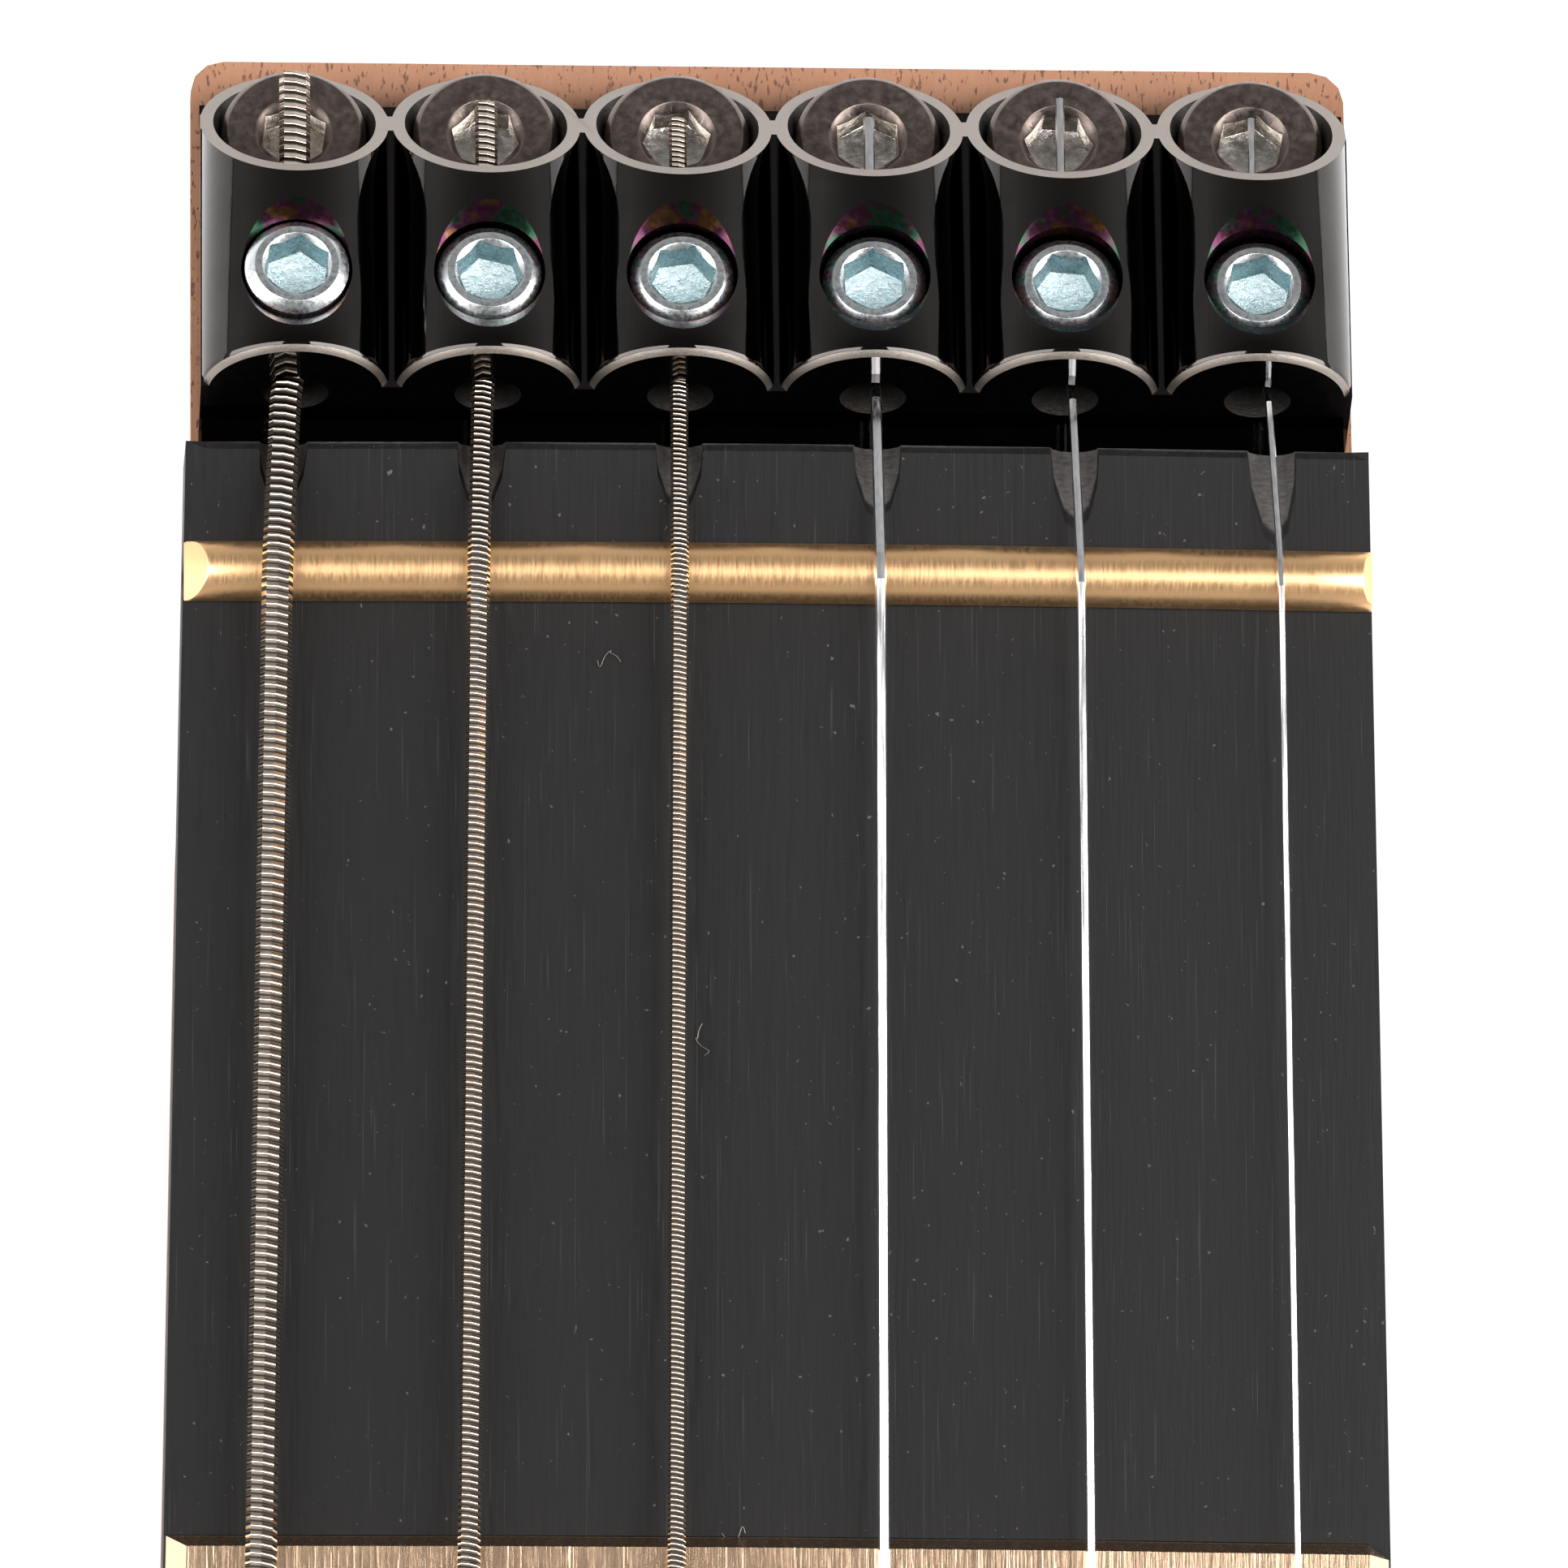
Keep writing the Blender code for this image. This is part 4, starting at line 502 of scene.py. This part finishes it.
def headpiece():
    looks = (chrome, satin, bore, oiled)
    radius, axis, cut, ease = head["radius"], head["axis"], head["chamfer"], head["round"]
    crown = axis + radius
    reach = head["reach"]
    barrel = start(
        "cylinder", "barrel", looks, vertices=head["sides"], radius=radius, depth=reach - cut - ease,
        location=(0, (reach + cut + ease) / 2, axis), rotation=lying,
    )
    eased = radius - head["roundIn"]
    shrink = eased / radius
    tapered(barrel, lambda face: face.normal.y < -0.9, (0, -ease, 0), (shrink, 1, shrink))
    shrink = (eased - cut) / eased
    tapered(barrel, lambda face: face.normal.y < -0.9, (0, -cut, 0), (shrink, 1, shrink))
    paintFaces(barrel, lambda face: -0.9 < face.normal.y < -0.5, 1)
    barrelRow = row(barrel, "barrels", [(x, 0, 0) for x in barrels])
    half = barrels[-1] + radius
    rise = axis + radius * math.sin(math.radians(head["valley"]))
    end, foot, low = head["baseEnd"], head["footEnd"], head["footRise"]
    piece = start(
        "cube", "headpiece_fine", looks, size=1.0, location=(0, end / 2, rise / 2),
        scale=(2 * half, end, rise),
    )
    sole = start(
        "cube", "sole", looks, size=1.0, location=(0, foot / 2, low / 2), scale=(2 * half, foot, low),
    )
    carved(piece, sole, "UNION")
    front, up, bite = head["lipFront"], head["lipRise"], head["lipBite"]
    lip = start(
        "cube", "lip", looks, size=1.0, location=(0, front / 2 + bite / 2, up / 2),
        scale=(2 * half - 2 * head["lipInset"], bite - front, up),
    )
    carved(piece, lip, "UNION")
    carved(piece, barrelRow, "UNION")
    slant = math.tan(math.radians(head["mouth"]))
    normal = Vector((0, 1, slant)).normalized()
    sliced(piece, (0, head["crest"], crown), normal)
    paintFaces(piece, lambda face: face.normal.dot(normal) > 0.99, 1)
    spots = [(x, 0, 0) for x in barrels]

    def tool(name, slot, **size):
        shape = start(size.pop("kind", "cylinder"), name, looks, **size)
        paintFaces(shape, lambda face: True, slot)
        return row(shape, name, spots)

    # each cutter is turned a little, so that none of its edges meets another's
    top = crown + above
    bottom = head["mountTop"] - head["mountDepth"] - spare
    carved(piece, tool(
        "bores", 2, vertices=roundSides, radius=head["bore"], depth=head["boreLength"],
        location=(0, head["boreStart"] + head["boreLength"] / 2, axis),
        rotation=(math.pi / 2, head["boreTwist"], 0),
    ))
    carved(piece, tool(
        "pockets", 2, vertices=roundSides, radius=head["pocket"], depth=top - bottom,
        location=(0, head["mountPlace"], (top + bottom) / 2), rotation=(0, 0, head["pocketTwist"]),
    ))
    carved(piece, tool(
        "string_holes", 2, vertices=holeSides, radius=head["stringHole"], depth=head["stringHoleLength"],
        location=(0, head["stringHolePlace"], axis), rotation=(math.pi / 2, head["stringTwist"], 0),
    ))
    bottom = axis - head["stringHole"] - spare
    carved(piece, tool(
        "clamp_holes", 3, vertices=roundSides, radius=head["clampHole"], depth=top - bottom,
        location=(0, head["clampPlace"], (top + bottom) / 2), rotation=(0, 0, head["clampTwist"]),
    ))
    sinkDepth = head["clampSink"] - head["clampHole"]
    spread = top - (crown - sinkDepth)
    carved(piece, tool(
        "clamp_sinks", 3, kind="cone", vertices=roundSides, radius1=head["clampHole"] * head["sinkStart"],
        radius2=head["clampHole"] + spread, depth=spread, location=(0, head["clampPlace"], top - spread / 2),
    ))
    smoothed(piece, 28)
    piece.data.transform(headTurn)
    settle(piece, "guitar", "black_chrome", "headpiece")


headpiece()
print("headpiece made")

clamp = {
    "radius": 0.00188, "height": 0.0031, "chamfer": 0.00036, "socket": 0.00214, "depth": 0.0014,
    "mouth": 0.00126, "stringGap": 0.0002,
}
mount = {
    "radius": 0.00263, "height": 0.0022, "chamfer": 0.00022, "socket": 0.00218, "depth": 0.0013,
    "mouth": 0.00142, "shank": 0.0014, "shankLength": 0.0087,
}
diameters = (0.00112, 0.00081, 0.00064, 0.00041, 0.00033, 0.00025)
spinStep = 23       # degrees from one screw's socket to the next one's


def socketScrew(name, sizes, top, looks):
    # a round head with a chamfered rim and a hexagon socket, its top at the given height
    radius, chamfer = sizes["radius"], sizes["chamfer"]
    tall = sizes["height"]
    piece = start(
        "cylinder", name, looks, vertices=roundSides, radius=radius, depth=tall - chamfer,
        location=(0, 0, top - chamfer - (tall - chamfer) / 2),
    )
    shrink = (radius - chamfer) / radius
    tapered(piece, lambda face: face.normal.z > 0.9, (0, 0, chamfer), (shrink, shrink, 1))
    if "shank" in sizes:
        pickFaces(piece, lambda face: face.normal.z < -0.9)
        bpy.ops.mesh.inset(thickness=radius - sizes["shank"])
        bpy.ops.mesh.extrude_region_move(TRANSFORM_OT_translate={"value": (0, 0, -sizes["shankLength"])})
        leaveEdit()
    hexagon = start(
        "cylinder", "hexagon", looks, vertices=6, radius=sizes["socket"] / 2 / math.cos(math.pi / 6),
        depth=sizes["depth"] + above, location=(0, 0, top + above / 2 - sizes["depth"] / 2),
        rotation=(0, 0, math.pi / 6),
    )
    paintFaces(hexagon, lambda face: True, min(1, len(looks) - 1))
    carved(piece, hexagon)
    paintFaces(piece, lambda face: face.material_index == 1 and face.normal.z > 0.9, len(looks) - 1)
    slope = sizes["mouth"] - sizes["socket"] / 2
    ring = start(
        "cone", "ring", looks, vertices=roundSides, radius1=sizes["socket"] / 2,
        radius2=sizes["mouth"] + spare, depth=slope + spare, location=(0, 0, top - slope / 2 + spare / 2),
    )
    carved(piece, ring)
    softEdges(piece, 0.00003)
    smoothed(piece, 28)
    return piece


def copied(piece, name, matrix):
    copy = bpy.data.objects.new(name, piece.data.copy())
    copy.data.name = name
    copy.data.transform(matrix)
    scene.collection.objects.link(copy)
    return copy


clampModel = socketScrew("clamp_model", clamp, clamp["height"], (zinc, zincHole, zincBottom))
mountModel = socketScrew("mount_model", mount, 0.0, (steel, steelHole, steelHole))
for number in range(1, stringCount + 1):
    x = barrels[number - 1]
    seat = head["axis"] - head["stringHole"] + diameters[number - 1] + clamp["stringGap"]
    spin = Matrix.Rotation(math.radians(spinStep * number), 4, "Z")
    place = headTurn @ Matrix.Translation((x, head["clampPlace"], seat)) @ spin
    screw = copied(clampModel, f"clamp_screw_fine_{number}", place)
    settle(screw, f"clamp_screw_{number}", "zinc_plated_steel", f"clamp_screw_{number}")
    place = headTurn @ Matrix.Translation((x, head["mountPlace"], head["mountTop"])) @ spin
    screw = copied(mountModel, f"mount_screw_fine_{number}", place)
    settle(screw, "guitar", "dark_steel", f"mount_screw_{number}")
bpy.data.objects.remove(clampModel)
bpy.data.objects.remove(mountModel)
print("head screws made")


# Zero fret

zero = {
    "y": 0.6477, "seat": 0.0516, "width": 0.0022, "height": 0.00115, "length": 0.0428, "bow": 0.406,
    "rightCut": 0.00035, "rightSlope": (0.95, 0, 0.40), "leftCut": 0.00088, "leftSlope": (-0.90, 0, 0.62),
    "sides": 64, "steps": 10, "ease": 0.00005,
}


def zeroFret():
    half = zero["length"] / 2
    piece = start(
        "cylinder", "zero_fret_fine", (copper,), vertices=zero["sides"], radius=zero["width"] / 2,
        depth=zero["length"], rotation=(0, math.pi / 2, 0),
    )
    sliced(piece, (0, 0, 0), (0, 0, -1))
    for vertex in piece.data.vertices:
        vertex.co.z *= zero["height"] / (zero["width"] / 2)
    sliced(piece, (half - zero["rightCut"], 0, zero["height"]), zero["rightSlope"])
    sliced(piece, (-half + zero["leftCut"], 0, zero["height"]), zero["leftSlope"])
    for step in range(1 - zero["steps"], zero["steps"]):
        sliced(piece, (step * half / zero["steps"], 0, 0), (1, 0, 0), clear=False)
    softEdges(piece, zero["ease"], 40)
    for vertex in piece.data.vertices:
        vertex.co.z += zero["seat"] - vertex.co.x ** 2 / (2 * zero["bow"])
        vertex.co.y += zero["y"]
    smoothed(piece, 30)
    settle(piece, "guitar", "copper_fret_wire", "zero_fret")


zeroFret()
print("zero fret made")


# Small screws on the pickups and the bridge plate, which the CAD has no solids for

small = {
    "radius": 0.0019, "height": 0.0010, "chamfer": 0.00015, "socket": 0.0015, "depth": 0.0006,
    "mouth": 0.00100, "pickupRows": (0.037 - 0.0135, 0.128 - 0.0135), "pickupSide": 0.0305,
    "pickupTop": 0.04990, "plateColumns": (-0.0208, 0.0, 0.0208), "plateRow": -0.0101, "plateTop": 0.04550,
}
smallPlaces = [
    (side * small["pickupSide"], y, small["pickupTop"]) for side in (-1, 1) for y in small["pickupRows"]
]
smallPlaces += [(x, small["plateRow"], small["plateTop"]) for x in small["plateColumns"]]
smallModel = socketScrew("small_model", small, 0.0, (steel,))
for number, place in enumerate(smallPlaces, 1):
    settle(copied(smallModel, f"small_screw_{number}", Matrix.Translation(place)), "guitar", "dark_steel")
bpy.data.objects.remove(smallModel)
print("small screws made:", len(smallPlaces))


# Short hairs caught on the board between the strings

hairs = {
    "thick": 0.000014, "size": 0.0007, "boardTop": 0.05153, "wave": 0.00004, "stretch": 1.4,
    "places": ((-0.0059, 0.6443, 0.4), (-0.0026, 0.6309, 2.1), (-0.0018, 0.6128, 3.6)),
}


def hair(number, x, y, turned):
    curve = bpy.data.curves.new(f"hair_{number}", "CURVE")
    curve.dimensions = "3D"
    curve.bevel_depth = hairs["thick"]
    curve.bevel_resolution = 1
    line = curve.splines.new("NURBS")
    line.points.add(6)
    for step, point in enumerate(line.points):
        angle = turned + step * 0.42 + 0.5 * (step % 3)
        reach = hairs["size"] * (0.35 + 0.09 * step)
        spotX = x + reach * math.cos(angle)
        spotY = y + reach * math.sin(angle) * hairs["stretch"]
        spotZ = hairs["boardTop"] - spotX ** 2 / (2 * zero["bow"]) + hairs["wave"] * (step % 2)
        point.co = (spotX, spotY, spotZ, 1)
    line.use_endpoint_u = True
    piece = bpy.data.objects.new(f"hair_{number}", curve)
    scene.collection.objects.link(piece)
    take(piece)
    bpy.ops.object.convert(target="MESH")
    piece = bpy.context.active_object
    piece.data.materials.append(satin)
    settle(piece, "guitar", "dark_steel")


for number, (x, y, turned) in enumerate(hairs["places"], 1):
    hair(number, x, y, turned)
print("hairs laid")


# Floor, light and camera

def floorPaint():
    material = bpy.data.materials.new("pale_floor")
    material.use_nodes = True
    tree = material.node_tree
    shader = tree.nodes["Principled BSDF"]
    shader.inputs["Base Color"].default_value = (0.86, 0.86, 0.86, 1)
    shader.inputs["Roughness"].default_value = 0.9
    glow = tree.nodes.new("ShaderNodeEmission")
    glow.inputs["Color"].default_value = (1, 1, 1, 1)
    path = tree.nodes.new("ShaderNodeLightPath")
    seen = tree.nodes.new("ShaderNodeMath")
    seen.operation = "MULTIPLY"
    seen.inputs[1].default_value = 0.75
    tree.links.new(path.outputs["Is Camera Ray"], seen.inputs[0])
    blend = tree.nodes.new("ShaderNodeMixShader")
    tree.links.new(seen.outputs[0], blend.inputs[0])
    tree.links.new(shader.outputs[0], blend.inputs[1])
    tree.links.new(glow.outputs[0], blend.inputs[2])
    tree.links.new(blend.outputs[0], tree.nodes["Material Output"].inputs["Surface"])
    return material


ground = {"size": 12, "along": 0.3, "drop": 0.0002}
groundSpot = (0, ground["along"], cadBounds[0][2] - ground["drop"])
floor = start("plane", "floor", (floorPaint(),), size=ground["size"], location=groundSpot)

lamps = {
    "side": 0.85, "along": 0.55, "height": 0.80, "width": 0.55, "length": 1.5, "powers": (18.5, 26.5),
    "aim": (0, 0.5, 0.04),
}
for side, power in zip((-1, 1), lamps["powers"]):
    data = bpy.data.lights.new("softbox", "AREA")
    data.shape = "RECTANGLE"
    data.size = lamps["width"]
    data.size_y = lamps["length"]
    data.energy = power
    lamp = bpy.data.objects.new("softbox", data)
    lamp.location = (side * lamps["side"], lamps["along"], lamps["height"])
    lamp.rotation_euler = (Vector(lamps["aim"]) - lamp.location).to_track_quat("-Z", "Y").to_euler()
    scene.collection.objects.link(lamp)

world = bpy.data.worlds.new("white_room")
scene.world = world
world.use_nodes = True
sky = world.node_tree.nodes["Background"]
path = world.node_tree.nodes.new("ShaderNodeLightPath")
compass = world.node_tree.nodes.new("ShaderNodeTexCoord")
height = world.node_tree.nodes.new("ShaderNodeSeparateXYZ")
level = world.node_tree.nodes.new("ShaderNodeMapRange")    # darker overhead, as under a studio ceiling
level.inputs["From Min"].default_value = 0.25
level.inputs["From Max"].default_value = 0.85
level.inputs["To Min"].default_value = 0.60
level.inputs["To Max"].default_value = 0.14
shown = world.node_tree.nodes.new("ShaderNodeMath")
shown.operation = "MAXIMUM"
world.node_tree.links.new(compass.outputs["Generated"], height.inputs[0])
world.node_tree.links.new(height.outputs["Z"], level.inputs["Value"])
world.node_tree.links.new(path.outputs["Is Camera Ray"], shown.inputs[0])
world.node_tree.links.new(level.outputs[0], shown.inputs[1])
world.node_tree.links.new(shown.outputs[0], sky.inputs["Strength"])
sky.inputs["Color"].default_value = (1, 1, 1, 1)

shot = {
    "aim": (0.0002, 0.6400, 0.0515), "distance": 0.9, "leanBack": 12.0, "leanLeft": 2.5,
    "frame": 0.0563, "sensor": 36.0, "nearest": 0.01,
}
cameraData = bpy.data.cameras.new("camera")
cameraData.sensor_width = shot["sensor"]
cameraData.lens = shot["sensor"] * shot["distance"] / shot["frame"]
cameraData.clip_start = shot["nearest"]
camera = bpy.data.objects.new("camera", cameraData)
leftward, headward = (math.tan(math.radians(shot[lean])) for lean in ("leanLeft", "leanBack"))
backward = Vector((-leftward, -headward, 1)).normalized()
upward = (Vector((0, 1, 0)) - backward * backward.y).normalized()
across = upward.cross(backward)
turn = Matrix((across, upward, backward)).transposed().to_4x4()
camera.matrix_world = Matrix.Translation(Vector(shot["aim"]) + backward * shot["distance"]) @ turn
scene.collection.objects.link(camera)
scene.camera = camera
scene.view_settings.view_transform = "Standard"
print("stage, light and camera set")
